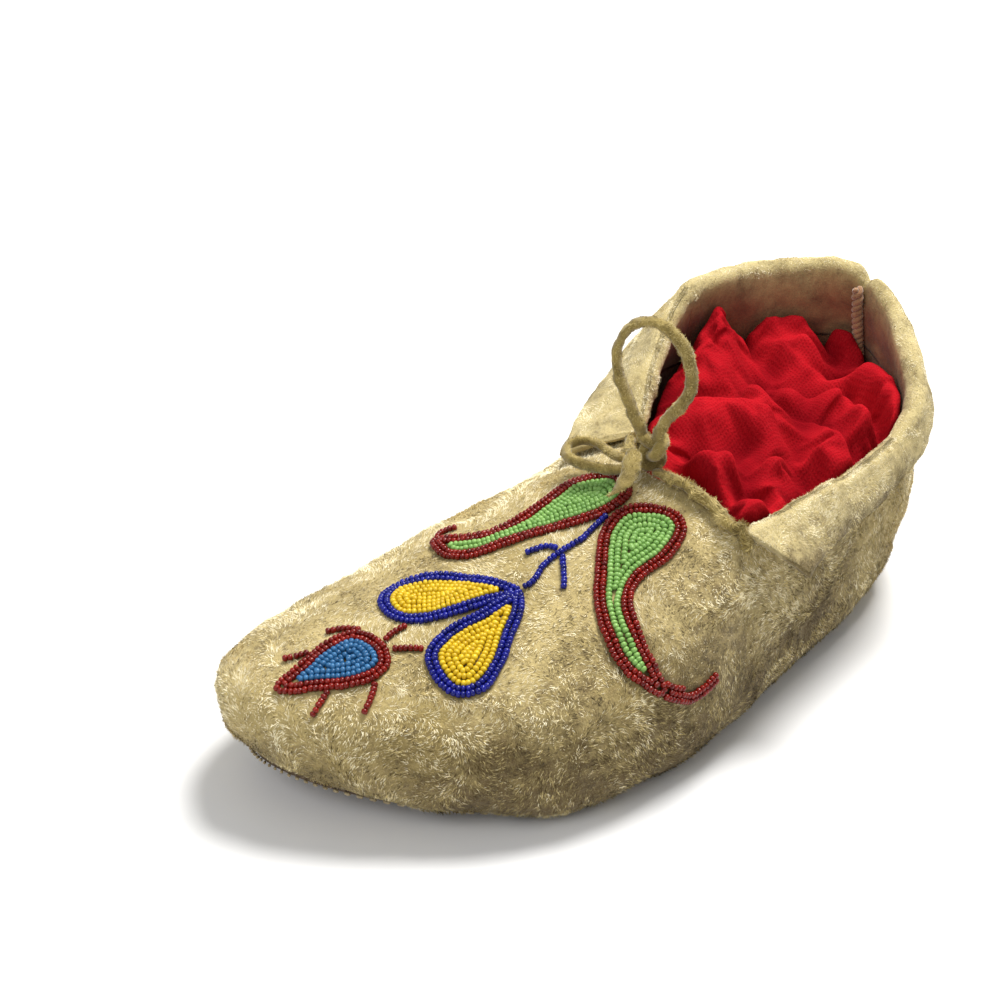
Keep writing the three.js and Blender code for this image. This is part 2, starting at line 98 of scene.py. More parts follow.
# The beadwork's flat pattern, as in the model.
PATTERN_ORIGIN = np.array([10.0, -60.0, 50.0])
PATTERN_FACING = np.array([0.42, -0.25, 0.87])
LEAF_LEFT = [
    (-29, 4), (-22, 3), (-17, 8), (-14, 17), (-11, 27), (-7, 38), (-5, 46), (-6, 53), (-12, 56), (-17, 54),
    (-21, 46), (-20, 35), (-19, 24), (-21, 15), (-25, 9),
]
LEAF_RIGHT = [
    (48, 22), (41, 17), (32, 17), (21, 22), (10, 31), (2, 39), (-1, 47), (2, 54), (8, 58),
    (14, 56), (18, 47),
    (19, 36), (25, 28), (35, 24), (43, 23),
]
HOOK = [(42, 20), (48, 22.3), (51.4, 27.5), (52, 34), (50.8, 41.5)]
CURL = [(-30, 5), (-32, 8), (-30, 12)]
PETAL_LEFT = [(3, 7), (-7, 2), (-16, -6), (-20, -16), (-17, -23), (-10, -24), (-5, -19), (-1, -10), (1, -1)]
PETAL_RIGHT = [
    (4, 6), (4.5, -5), (4, -15), (7, -24), (13, -27), (20, -26), (23, -20), (20, -12), (14, -4), (9, 3),
]
BUD = [(-8, -62), (-2, -54), (3, -45), (3, -37), (-4, -34), (-11, -37), (-12, -45), (-10, -54)]
BUD_HAIRS = [
    [(-17, -42), (-15, -38), (-12, -35), (-8.5, -34)],
    [(-16, -56), (-14, -52), (-12.5, -47)],
    [(4, -60), (1, -53)],
    [(12, -49), (8.5, -44), (5, -41)],
    [(-3.5, -33), (-5, -28), (-5, -24)],
    [(-1, -33), (2, -28), (4.5, -25)],
]
STEM = [(-3, 44), (-2.5, 39), (-1, 33), (-1, 26), (0, 19), (3, 13), (3, 8)]
SPRIGS = [[(-1, 26), (-5, 24), (-7, 18)], [(-1, 26), (5, 22), (10, 18)]]

# The tie's routes, as in the model.
KNOT = (8, 3, 74.5)
LOOP_LARGE = [
    (11, 3, 82), (13, 3.5, 86), (16, 4.5, 90), (18.5, 5.5, 95), (19, 6, 100), (18, 5.5, 105),
    (15.5, 4.5, 109.5), (12, 3, 113), (7.5, 1, 114.5), (3, -1, 113), (0, -2.5, 109), (-1.5, -3.5, 104),
    (-1, -3.5, 99), (0.5, -3, 94), (2.5, -2, 89.5), (4, -1, 85), (5.5, 0, 82),
]
LOOP_SMALL = [
    (3.2, -2.6, 71.2), (1, -2.9, 70.8), (-1.6, -3, 70.7), (-4.5, -3, 71), (-8, -3, 71.4),
    (-11.2, -3.8, 71.5),
    (-13.6, -6, 71.3), (-14, -9.2, 70.8), (-12, -12, 70.2), (-8.8, -13, 69.6), (-5.4, -12.2, 69.2),
    (-2, -10.6, 69), (1.2, -8.8, 68.9), (4, -6.6, 69.1), (6.4, -4.2, 69.3),
]
TAIL = [
    (7.8, -2.9, 75.4), (8.3, -4.7, 75.3), (9.4, -6.3, 74.8), (10.6, -7.8, 74.2), (11.7, -9.3, 73.4),
    (12.6, -10.9, 72.5), (13.2, -12.6, 71.6), (13.5, -14.3, 70.8), (13.5, -16, 70), (13.3, -17.6, 69.3),
    (13, -19, 68.7),
]


# ---- camera, light and floor
VIEW_AZIMUTH = 49.0
VIEW_ELEVATION = 29.0
VIEW_DISTANCE = 595.2
VIEW_ROLL = 0.69
VIEW_AIM = (-42.3, -11.4, 44.2)
LENS = 70.2
SENSOR = 36


def view_back():
    """The direction from the shoe to the camera."""
    a, e = math.radians(VIEW_AZIMUTH), math.radians(VIEW_ELEVATION)
    return Vector((math.sin(a) * math.cos(e), -math.cos(a) * math.cos(e), math.sin(e)))


def make_camera():
    back = view_back()
    data = bpy.data.cameras.new("camera")
    data.lens = LENS
    data.sensor_width = SENSOR
    data.clip_start = 0.01
    camera = bpy.data.objects.new("camera", data)
    bpy.context.collection.objects.link(camera)
    camera.location = (Vector(VIEW_AIM) + back * VIEW_DISTANCE) * MM
    camera.rotation_euler = (-back).to_track_quat("-Z", "Y").to_euler()
    camera.rotation_euler.rotate_axis("Z", math.radians(VIEW_ROLL))
    bpy.context.scene.camera = camera


LIGHT_AIM = (0, 0, 0.04)
FLOOR_HALF = 4.0


def make_light(name, location, size, energy, color):
    data = bpy.data.lights.new(name, "AREA")
    data.shape = "DISK"
    data.size = size
    data.energy = energy
    data.color = color
    light = bpy.data.objects.new(name, data)
    bpy.context.collection.objects.link(light)
    light.location = location
    light.rotation_euler = (Vector(LIGHT_AIM) - light.location).to_track_quat("-Z", "Y").to_euler()


def make_stage():
    mesh = bpy.data.meshes.new("floor")
    corners = [(FLOOR_HALF * x, FLOOR_HALF * y, 0) for x, y in ((-1, -1), (1, -1), (1, 1), (-1, 1))]
    mesh.from_pydata(corners, [], [(0, 1, 2, 3)])
    floor = bpy.data.objects.new("floor", mesh)
    bpy.context.collection.objects.link(floor)
    material = bpy.data.materials.new("floor")
    material.use_nodes = True
    shader = material.node_tree.nodes["Principled BSDF"]
    shader.inputs["Base Color"].default_value = (0.86, 0.86, 0.86, 1)
    shader.inputs["Roughness"].default_value = 0.9
    mesh.materials.append(material)
    world = bpy.data.worlds.new("world")
    bpy.context.scene.world = world
    world.use_nodes = True
    background = world.node_tree.nodes["Background"]
    background.inputs["Color"].default_value = (1, 1, 1, 1)
    background.inputs["Strength"].default_value = 0.42
    make_light("key", (-0.10, 0.46, 1.15), 0.55, 23, (1, 0.985, 0.96))
    make_light("fill", (0.1, -1.1, 1.0), 0.9, 6, (0.97, 0.985, 1))
    bpy.context.scene.view_settings.view_transform = "Standard"


# ---- the shoe's surface
def unit(vectors):
    """Vectors, one to a row, made one long."""
    return vectors / np.linalg.norm(vectors, axis=-1, keepdims=True)


def around(values, t):
    """Values at t of a closed Catmull-Rom curve through numbers or points."""
    n = len(values)
    i = np.floor(t).astype(int)
    f = (t - i)[..., None] if values.ndim > 1 else t - i
    a, b, c, d = (values[(i + k) % n] for k in (-1, 0, 1, 2))
    return b + 0.5 * f * (c - a + f * (2 * a - 5 * b + 4 * c - d + f * (3 * (b - c) + d - a)))


def sprung(x, y, z):
    """Points raised by the curve of the toe off the ground."""
    ahead = np.clip((SPRING_FROM - y) / (SPRING_FROM - TOE_Y), 0, None)
    return np.stack([x, y, z + SPRING * ahead**1.8], -1)


def outward(t):
    """The level direction out of the shoe at t, square to its outline."""
    along = unit(around(STATIONS[:, :2], t + 0.01) - around(STATIONS[:, :2], t - 0.01))
    return np.stack([along[..., 1], -along[..., 0]], -1)


def hide(t, v):
    """Points of the leather's outer face: v 0 at the sole, 1 at the rim."""
    t, v = np.broadcast_arrays(np.asarray(t, float), np.asarray(v, float))
    s = around(STATIONS, t)
    bulge, rim, rim_z = s[..., 0:2], s[..., 2:4], s[..., 4]
    rise, reach, lean = s[..., 5], s[..., 6], np.radians(s[..., 7])
    turn = np.clip(v / TUCK_SHARE, 0, 1) * np.pi / 2
    low = bulge - outward(t) * (TUCK * (1 - np.sin(turn)))[..., None]
    low_z = FOOT + (BULGE_Z - FOOT) * (1 - np.cos(turn))
    run = np.linalg.norm(rim - bulge, axis=-1)
    inward = (rim - bulge) / run[..., None]
    f = np.clip((v - TUCK_SHARE) / (1 - TUCK_SHARE), 0, 1)
    g = 1 - f
    x = 3 * g * f**2 * (run - reach * np.cos(lean)) + f**3 * run
    z = (g**3 + 3 * g**2 * f) * BULGE_Z + 3 * g**2 * f * rise
    z += 3 * g * f**2 * (rim_z - reach * np.sin(lean)) + f**3 * rim_z
    high = bulge + inward * x[..., None]
    below = (v < TUCK_SHARE)[..., None]
    xy = np.where(below, low, high)
    return sprung(xy[..., 0], xy[..., 1], np.where(below[..., 0], low_z, z))


def facing(t, v):
    """The leather's outward normals."""
    h = 0.02
    up = hide(t, np.minimum(v + h, 1)) - hide(t, np.maximum(v - h, 0))
    return unit(np.cross(hide(t + h, v) - hide(t - h, v), up))


def fbm(p, scale, seed=0.0, octaves=3):
    """Smooth noise at points in mm, about -1 to 1."""
    q = np.asarray(p).reshape(-1, 3) / scale + seed
    out = np.array([noise.fractal(Vector(r), 0.9, 2.1, octaves) for r in q])
    return out.reshape(np.asarray(p).shape[:-1])


# ---- mesh building
def make_object(name, points, faces, body=SHOE):
    """A mesh object from points in mm in the model's own plan, riding on a body."""
    mesh = bpy.data.meshes.new(name)
    places = ((np.asarray(points) - CENTRE) * MM).tolist()
    mesh.from_pydata(places, [], [tuple(map(int, f)) for f in faces])
    mesh.validate()
    mesh.polygons.foreach_set("use_smooth", [True] * len(mesh.polygons))
    obj = bpy.data.objects.new(name, mesh)
    bpy.context.collection.objects.link(obj)
    if body:
        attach(obj, body)
    return obj


def grid_faces(rows, columns, ring_rows=False, ring_columns=False):
    """Quads of a grid of points, with the first index along rows."""
    i = np.arange(rows if ring_rows else rows - 1)
    j = np.arange(columns if ring_columns else columns - 1)
    i, j = (a.ravel() for a in np.meshgrid(i, j, indexing="ij"))
    i2, j2 = (i + 1) % rows, (j + 1) % columns
    return np.stack([i * columns + j, i2 * columns + j, i2 * columns + j2, i * columns + j2], 1)


def face_out(obj):
    bm = bmesh.new()
    bm.from_mesh(obj.data)
    bmesh.ops.recalc_face_normals(bm, faces=bm.faces)
    bm.to_mesh(obj.data)
    bm.free()


def tube_faces(rows, columns):
    """The faces of a tube of rings, closed at both ends."""
    faces = grid_faces(rows, columns, ring_columns=True).tolist()
    faces.append(list(range(columns))[::-1])
    faces.append([(rows - 1) * columns + k for k in range(columns)])
    return faces


def make_piece(name, points, faces, material, slot, node):
    """A painted piece of the shoe that stands for a node of the model."""
    obj = make_object(name, points, faces)
    face_out(obj)
    paint(obj, material)
    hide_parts(node)
    return obj


def set_attribute(obj, name, values):
    attribute = obj.data.attributes.new(name, "FLOAT", "POINT")
    attribute.data.foreach_set("value", np.asarray(values, np.float32))


# ---- materials
class Nodes:
    """A short way to write a node tree."""

    def __init__(self, name):
        self.material = bpy.data.materials.new(name)
        self.material.use_nodes = True
        self.tree = self.material.node_tree
        self.shader = self.tree.nodes["Principled BSDF"]
        self.place = self.add("ShaderNodeTexCoord").outputs["Object"]

    def add(self, kind, values=(), **settings):
        node = self.tree.nodes.new(kind)
        for key, value in settings.items():
            setattr(node, key, value)
        for key, value in dict(values).items():
            node.inputs[key].default_value = value
        return node

    def link(self, a, b):
        self.tree.links.new(a, b)

    def pattern(self, kind, values, **settings):
        """A texture's value over the object's own space."""
        node = self.add(kind, values, **settings)
        self.link(self.place, node.inputs["Vector"])
        return node.outputs["Fac"]

    def noise(self, scale, detail, rough):
        return self.pattern("ShaderNodeTexNoise", {"Scale": scale, "Detail": detail, "Roughness": rough})

    def span(self, value, low, high, to_low=0.0, to_high=1.0):
        limits = {"From Min": low, "From Max": high, "To Min": to_low, "To Max": to_high}
        node = self.add("ShaderNodeMapRange", limits)
        self.link(value, node.inputs["Value"])
        return node.outputs["Result"]

    def put(self, value, socket):
        """A number or a colour goes on the socket itself, and anything else is linked to it."""
        if isinstance(value, tuple):
            socket.default_value = (*value, 1)
        elif isinstance(value, (int, float)):
            socket.default_value = value
        else:
            self.link(value, socket)

    def mix(self, factor, a, b):
        node = self.add("ShaderNodeMix", data_type="RGBA")
        for index, value in ((0, factor), (6, a), (7, b)):
            self.put(value, node.inputs[index])
        return node.outputs[2]

    def math(self, operation, a, b):
        node = self.add("ShaderNodeMath", operation=operation)
        self.put(a, node.inputs[0])
        self.put(b, node.inputs[1])
        return node.outputs[0]

    def over(self, base, color, mask, amount):
        """A colour laid over the base where the mask is, as strongly as amount says."""
        return self.mix(self.math("MULTIPLY", mask, amount), base, color)

    def attribute(self, name):
        return self.add("ShaderNodeAttribute", attribute_name=name).outputs["Fac"]

    def bump(self, heights):
        """Bumps from (height, strength, distance), one on top of the other."""
        normal = None
        for height, strength, distance in heights:
            node = self.add("ShaderNodeBump", {"Strength": strength, "Distance": distance})
            self.link(height, node.inputs["Height"])
            if normal:
                self.link(normal, node.inputs["Normal"])
            normal = node.outputs["Normal"]
        self.link(normal, self.shader.inputs["Normal"])

    def finish(self, color, roughness, **sockets):
        self.put(color, self.shader.inputs["Base Color"])
        self.put(roughness, self.shader.inputs["Roughness"])
        for key, value in sockets.items():
            self.shader.inputs[key.replace("_", " ")].default_value = value
        return self.material


def buckskin(name, light, shade, dirt_and_shade, rough):
    """Leather. The attribute stain says how stained it is at a point, and the dirt attribute says how dirty
    it is; on the cuff's flaps that one also holds painted shade below the fold.
    """
    n = Nodes(name)
    broad = n.noise(30, 4, 0.6)
    patch = n.noise(110, 5, 0.72)
    blotch = n.noise(330, 4, 0.7)
    grain = n.noise(1100, 3, 0.75)
    fibre = n.noise(2600, 2, 0.7)
    base = n.mix(n.span(broad, 0.35, 0.65), light, shade)
    soil_and_shade = n.math("ADD", n.attribute("soil_and_shade"), n.span(patch, 0.3, 0.7, -0.28, 0.28))
    soil_and_shade = n.math("ADD", soil_and_shade, n.span(blotch, 0.35, 0.68, -0.16, 0.24))
    # The dark colour goes on by the dirt attribute: the leather's own dirt, and on the cuff's flaps painted
    # shade below the fold.
    base = n.mix(n.span(soil_and_shade, 0.15, 0.95), base, dirt_and_shade)
    pits = n.math("MULTIPLY", n.span(blotch, 0.56, 0.70), n.span(soil_and_shade, 0.1, 0.6, 0.15, 0.75))
    base = n.over(base, (0.17, 0.125, 0.06), pits, rough)
    base = n.over(base, (0.20, 0.15, 0.08), n.span(grain, 0.52, 0.72), 0.50 * rough)
    base = n.over(base, light, n.span(fibre, 0.5, 0.75), 0.45)
    stained = n.mix(n.span(patch, 0.35, 0.65), (0.30, 0.115, 0.055), (0.17, 0.058, 0.030))
    base = n.mix(n.attribute("stain"), base, stained)
    n.bump([(patch, 0.5 * rough, 0.0012), (blotch, 0.8 * rough, 0.0008),
            (grain, 0.7, 0.0005), (fibre, 0.6, 0.0002)])
    return n.finish(base, 0.95, Specular_IOR_Level=0.1, Sheen_Weight=0.12, Sheen_Roughness=0.6)


NAP_STEPS = 7


def nap(name, *colors):
    """Tones from dark to light, one to a fibre: a fibre is too thin to carry a pattern of its own."""
    tones = []
    for step in range(NAP_STEPS):
        share = step / (NAP_STEPS - 1) * (len(colors) - 1)
        color = tuple(float(np.interp(share, range(len(colors)), channel)) for channel in zip(*colors))
        n = Nodes(f"{name}_{step}")
        tones.append(n.finish(color, 0.9, Specular_IOR_Level=0.1, Sheen_Weight=0.15, Sheen_Roughness=0.6))
    return tones


def suede_thong(name, light, shade, rubbed):
    n = Nodes(name)
    tone = n.noise(160, 4, 0.7)
    fibre = n.noise(1400, 3, 0.8)
    base = n.mix(n.span(tone, 0.35, 0.65), light, shade)
    base = n.over(base, rubbed, n.span(fibre, 0.5, 0.75), 0.4)
    n.bump([(tone, 0.4, 0.0006), (fibre, 0.8, 0.0003)])
    return n.finish(base, 0.95, Specular_IOR_Level=0.12, Sheen_Weight=0.5, Sheen_Roughness=0.5)


def red_knit():
    """Fine knitted cloth: two crossing ribs a little under a millimetre apart, and its fuzz, with painted
    shade darkening the valleys of its folds.
    """
    n = Nodes("red_knit")
    broad = n.noise(60, 3, 0.5)
    rib = {"Scale": 360, "Distortion": 3, "Detail": 2, "Detail Scale": 1.5}
    ribs = [n.pattern("ShaderNodeTexWave", rib, wave_type="BANDS", bands_direction=way) for way in "XY"]
    weave = n.math("MULTIPLY", *ribs)
    stitch = n.noise(1500, 2, 0.7)
    base = n.mix(n.span(broad, 0.3, 0.7), (0.42, 0.007, 0.013), (0.30, 0.004, 0.009))
    base = n.over(base, (0.52, 0.03, 0.035), n.span(stitch, 0.45, 0.75), 0.3)
    base = n.over(base, (0.17, 0.002, 0.005), weave, 0.35)
    # Painted shade: the valleys between the cloth's folds are painted dark red.
    base = n.over(base, (0.13, 0.001, 0.004), n.attribute("painted_valley_shade"), 0.75)
    n.bump([(weave, 0.3, 0.0003), (stitch, 0.6, 0.0002)])
    return n.finish(base, 1.0, Specular_IOR_Level=0.03)


def rawhide():
    n = Nodes("rawhide")
    tone = n.noise(70, 5, 0.65)
    grain = n.noise(900, 3, 0.7)
    base = n.mix(n.span(tone, 0.35, 0.65), (0.075, 0.045, 0.025), (0.16, 0.11, 0.065))
    n.bump([(tone, 0.4, 0.001), (grain, 0.5, 0.0003)])
    return n.finish(base, n.span(tone, 0.3, 0.7, 0.55, 0.85))


def sinew():
    n = Nodes("sinew")
    tone = n.noise(300, 3, 0.6)
    base = n.mix(n.span(tone, 0.3, 0.7), (0.45, 0.37, 0.22), (0.25, 0.19, 0.10))
    n.bump([(tone, 0.5, 0.0003)])
    return n.finish(base, 0.7)


def glass_bead(color, deep, bright, roughness, clear):
    """Seed beads. tone is a bead's own shade, and a clear bead is glossier than a chalky one."""
    n = Nodes("beads_" + color)
    base = n.mix(n.attribute("tone"), deep, bright)
    cloud = n.noise(900, 2, 0.5)
    base = n.over(base, bright, n.span(cloud, 0.4, 0.7), 0.25)
    n.bump([(cloud, 0.15, 0.0002)])
    coat = 0.12 * clear
    return n.finish(base, roughness, Specular_IOR_Level=0.3, Coat_Weight=coat, Coat_Roughness=0.08)


MATERIALS = {}


def make_materials():
    MATERIALS.update({
        "buckskin": buckskin("buckskin", (0.55, 0.44, 0.20), (0.33, 0.25, 0.09), (0.11, 0.074, 0.027), 1),
        "cuff": buckskin("cuff_buckskin", (0.60, 0.5, 0.25), (0.42, 0.33, 0.135), (0.15, 0.11, 0.045), 0.6),
        "nap": nap("buckskin_nap", (0.075, 0.05, 0.016), (0.60, 0.475, 0.20), (1.0, 0.92, 0.66)),
        "thong_nap": nap("thong_nap", (0.09, 0.06, 0.014), (0.38, 0.285, 0.085), (0.70, 0.57, 0.25)),
        "thong": suede_thong("suede_thong", (0.38, 0.285, 0.085), (0.18, 0.13, 0.035), (0.50, 0.39, 0.15)),
        "seam": suede_thong("stained_seam", (0.42, 0.235, 0.12), (0.24, 0.115, 0.055), (0.50, 0.32, 0.18)),
        "cloth": red_knit(),
        "sole": rawhide(),
        "sinew": sinew(),
    })
    for color, *looks in [
        ("dark_red", (0.09, 0.002, 0.001), (0.24, 0.008, 0.003), 0.2, 1),
        ("green", (0.15, 0.31, 0.07), (0.26, 0.46, 0.125), 0.3, 0),
        ("cobalt", (0.003, 0.005, 0.10), (0.010, 0.014, 0.27), 0.2, 1),
        ("yellow", (0.52, 0.33, 0.006), (0.72, 0.51, 0.02), 0.3, 0),
        ("sky_blue", (0.01, 0.075, 0.19), (0.045, 0.17, 0.36), 0.25, 0),
    ]:
        MATERIALS[color] = glass_bead(color, *looks)


def paint(obj, material):
    obj.data.materials.clear()
    obj.data.materials.append(MATERIALS[material])


# ---- upper
# The upper's mesh: points round the shoe, and rows up the outer face, round the lip and down inside.
ROUND = 400
HIGH = 92
LIP = 5
INNER = 24
FOOT_DROP = 2.6
BAGGING = 4.2


def lumps(p):
    """How far soft leather stands off its own smooth shape, in mm."""
    return 1.1 * fbm(p, 34, 3.1, 2) + 0.75 * fbm(p, 11, 7.7, 3) + 0.3 * fbm(p, 4.2, 1.3, 2)


def fullness(t, v):
    """How far the soft wall behind the ankle's outer side bags out, in mm."""
    along = np.exp(-(((t - 7.35) / 0.75) ** 2))
    return BAGGING * along * np.sin(math.pi * np.clip((v - 0.12) / 0.72, 0, 1)) ** 2


def soil_of(p):
    """How dirty the leather is, 0 to 1: most where it is low and on the outer side."""
    low = np.clip((36 - p[:, 2]) / 26, 0, 1)
    side = np.clip((p[:, 0] - 16) / 30, 0, 1) * np.clip((64 - p[:, 2]) / 25, 0, 1)
    side *= np.clip((85 - p[:, 1]) / 40, 0.1, 1)
    worn = np.clip((p[:, 2] - 48) / 14, 0, 1) * np.clip((-5 - p[:, 0]) / 20 + 0.6, 0, 1) * (p[:, 1] < 15)
    return np.clip(0.14 + 0.40 * low + 0.45 * side - 0.3 * worn + 0.3 * fbm(p, 24, 9.9, 3), 0, 1)


def foot_drop(p, rise):
    """How far the leather hangs down over the sole's edge, in mm: least at the toe."""
    return FOOT_DROP * np.clip((p[:, 1] + 125) / 25, 0.3, 1) * np.clip(1 - rise, 0, 1)


def make_upper():
    """The shell of the upper, up its outer face and down its inner one, and a tree of the outer face."""
    t = np.arange(ROUND) / ROUND * COUNT
    edge = around(EDGE, t)
    rows = []
    for j in range(HIGH + 1):
        v = edge * j / HIGH
        p = hide(t, v)
        n = facing(t, v)
        settle = min(1, j / 8) * min(1, (HIGH - j) / 6 + 0.25)
        p = p + n * (lumps(p) * settle + fullness(t, v))[:, None]
        p[:, 2] -= foot_drop(p, j / 20)
        rows.append(p)
    top, top_n = rows[-1], facing(t, edge)
    up = unit(hide(t, edge) - hide(t, edge - 0.02))
    for k in range(1, LIP):
        a = math.pi * k / LIP
        rows.append(top - top_n * (HIDE / 2 * (1 - math.cos(a))) + up * (HIDE / 2 * math.sin(a)))
    for j in range(INNER + 1):
        v = edge * (1 - j / INNER)
        rows.append(hide(t, v) - facing(t, v) * HIDE)
    points = np.stack(rows, 1)
    flat = points.reshape(-1, 3)
    wide = points.shape[1]
    faces = grid_faces(ROUND, wide, ring_rows=True, ring_columns=True)
    obj = make_piece("upper_leather", flat, faces, "buckskin", "buckskin", "upper")
    set_attribute(obj, "soil_and_shade", soil_of(flat))
    within = np.tile((np.arange(wide) > HIGH + 2).astype(float), ROUND)
    set_attribute(obj, "stain", within * 0.95)
    outer = points[:, : HIGH + 1].reshape(-1, 3).tolist()
    return BVHTree.FromPolygons(outer, grid_faces(ROUND, HIGH + 1, ring_rows=True).tolist())


# ---- cuff
def cuff_section(t):
    """The flap's length, its droop in radians and its slant at t."""
    ring = np.vstack([CUFF, np.repeat(CUFF[-1:], 3, 0), np.repeat(CUFF[:1], 3, 0)])
    length, droop, slant = around(ring, np.asarray(t - CUFF_FROM, float))
    return length, math.radians(droop), slant


HEEL_SEAM = 8.0
# Where the cuff is cut into the outer wing, the heel part and the inner wing, in stations.
CUFF_CUTS = (4.02, 6.15, 10.12, 12.35)
# The point of a cuff's section where its fold is highest.
FOLD_TOP = 20
FOLD_RADIUS = 2.3


def cuff_sections(start, stop, count):
    """Sections of the cuff: up from the upper's edge inside, over the fold and down outside."""
    outers, inners, tips = [], [], []
    for t in np.linspace(start, stop, count):
        t = np.array(float(t))
        length, droop, slant = cuff_section(t)
        edge = float(around(EDGE, t))
        corner = hide(t, 1.0)
        along = hide(t + 0.05, 1.0) - hide(t - 0.05, 1.0)
        along /= np.linalg.norm(along)
        out = np.array([along[1], -along[0], 0])
        out /= np.linalg.norm(out)
        up = np.array([0, 0, 1.0])
        stand = np.linspace(edge - 0.03, 1, 16)[:-2]
        line = [(hide(t, v) - facing(t, v) * HIDE / 2, -facing(t, v)) for v in stand]
        pucker = math.exp(-((float(t) - HEEL_SEAM) / 0.07) ** 2)
        fold_r = FOLD_RADIUS - 0.7 * pucker
        centre = corner + out * 1.0 + up * (0.2 - 2.6 * pucker)
        for a in np.linspace(math.pi, math.pi / 2 - droop, 12):
            d = out * math.cos(a) + up * math.sin(a)
            line.append((centre + d * fold_r, d))
        last, normal = line[-1]
        run = out * math.cos(droop) - up * math.sin(droop)
        for s in np.linspace(0, 1, 22)[1:]:
            sway = 0.9 * math.sin(s * math.pi) * math.sin(droop)
            line.append((last + run * (length + 1.5) * s + normal * sway + along * slant * s, normal))
        middle = np.array([p for p, _ in line])
        normals = np.array([n for _, n in line])
        puff = lumps(middle * 1.1 + 40) * 0.9
        puff[:4] *= 0.2
        outers.append(middle + normals * (HIDE / 2 + 0.15 + puff)[:, None])
        inners.append(middle + normals * (puff - HIDE / 2)[:, None])
        tips.append((outers[-1][-1] + inners[-1][-1]) / 2 + run * 0.8)
    return np.array(outers), np.array(inners), np.array(tips)


def make_cuff(name, sections, part, dirt_and_shade):
    """A length of the cuff, from the part of its sections that is asked for, and the nap on it. The last
    argument says how much painted shade darkens the outer face below the fold.
    """
    outer, inner, tip = sections
    points = np.concatenate([outer[:, part], tip[:, None], inner[:, part][:, ::-1]], 1)
    if part.stop:
        points = np.delete(points, part.stop - (part.start or 0), 1)
    n, wide = points.shape[:2]
    flat = points.reshape(-1, 3)
    obj = make_object(name, flat, tube_faces(n, wide), None)
    face_out(obj)
    inside = np.tile((np.arange(wide) < FOLD_TOP - (part.start or 0)).astype(float), n)
    below = np.clip((np.repeat(outer[:, 18, 2], wide) - flat[:, 2] - 1) / 13, 0, 1)
    set_attribute(obj, "stain", np.clip(below * inside * (0.95 + 0.5 * fbm(flat, 15, 8.1, 3)), 0, 1))
    # Dirt, a little more on the inside, and painted shade: the outer face is painted darker the further it
    # lies below the fold.
    soil_and_shade = 0.16 + 0.2 * inside + dirt_and_shade * below * (1 - inside)
    set_attribute(obj, "soil_and_shade", np.clip(soil_and_shade + 0.4 * fbm(flat, 18, 5.5, 3), 0, 1))
    paint(obj, "cuff")
    count = int(9 * n * wide / 2)
    return obj, make_nap_on(obj, count, (0.75, 0.14), 0.84, "nap", n + wide)


def make_cuffs():
    """The cuff: its heel part in one, and each wing as a standing part and a flap."""
    heel = cuff_sections(*CUFF_CUTS[1:3], 150)
    # The last argument is how much painted shade darkens the flap below the fold.
    for obj in make_cuff("cuff_heel", heel, slice(None), 0.25):
        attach(obj, SHOE)
    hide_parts("heel_flap", "collar")
    # Each wing's last number is how much painted shade darkens its flap below the fold.
    wings = [("wing_left", CUFF_CUTS[:2], (42.0, 34, 60), (0.99, 0.08, 0.12), 0.95),
             ("wing_right", CUFF_CUTS[2:], (-28.0, 40, 78), (-0.81, -0.56, 0.16), 0.25)]
    for wing, cuts, fold, out, dirt_and_shade in wings:
        sections = cuff_sections(*cuts, 90)
        for obj in make_cuff("cuff_stand_" + wing, sections, slice(None, FOLD_TOP + 2), dirt_and_shade):
            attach(obj, SHOE)
        for obj in make_cuff("cuff_" + wing, sections, slice(FOLD_TOP - 1, None), dirt_and_shade):
            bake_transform(obj)
        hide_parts(wing)


# ---- sole
SOLE_ROUND = 240
SOLE_TRIM = 2.2
SOLE_MIDDLE = np.array([2.0, -4.0])


def make_sole():
    """The sole plate: an edge a little rounded, and both faces drawn in to their middle."""
    t = np.arange(SOLE_ROUND) / SOLE_ROUND * COUNT
    bulge = around(STATIONS[:, :2], t)
    out = outward(t)
    rings = []
    edge = SOLE_INSET + SOLE_TRIM
    for inset, z in [(edge + 30, 0.0), (edge + 0.8, 0.0), (edge, 0.7), (edge - 0.1, 1.6),
                     (edge, 2.5), (edge + 0.6, SOLE_THICK), (edge + 30, SOLE_THICK)]:
        if inset > edge + 5:
            p = bulge * 0.55 + SOLE_MIDDLE * 0.45
        else:
            p = bulge - out * inset
        rings.append(sprung(p[:, 0], p[:, 1], np.full(SOLE_ROUND, z)))
    wide = len(rings)
    faces = grid_faces(SOLE_ROUND, wide, ring_rows=True).tolist()
    base = SOLE_ROUND * wide
    for i in range(SOLE_ROUND):
        j = (i + 1) % SOLE_ROUND
        faces.append([i * wide, j * wide, base])
        faces.append([i * wide + wide - 1, j * wide + wide - 1, base + 1])
    middle = [[*SOLE_MIDDLE, 0.0], [*SOLE_MIDDLE, SOLE_THICK]]
    points = np.vstack([np.stack(rings, 1).reshape(-1, 3), middle])
    make_piece("sole_rawhide", points, faces, "sole", "sole_rawhide", "sole")


# ---- tubes, tie and stitching
def frames(path):
    """Two directions square to a path and to each other, turning as little as possible."""
    tangent = unit(np.gradient(path, axis=0))
    side = np.cross(tangent[0], [0.3, 0.2, 1])
    side /= np.linalg.norm(side)
    sides = [side]
    for k in range(1, len(path)):
        side = side - tangent[k] * side.dot(tangent[k])
        side /= np.linalg.norm(side)
        sides.append(side)
    sides = np.array(sides)
    return sides, np.cross(tangent, sides)


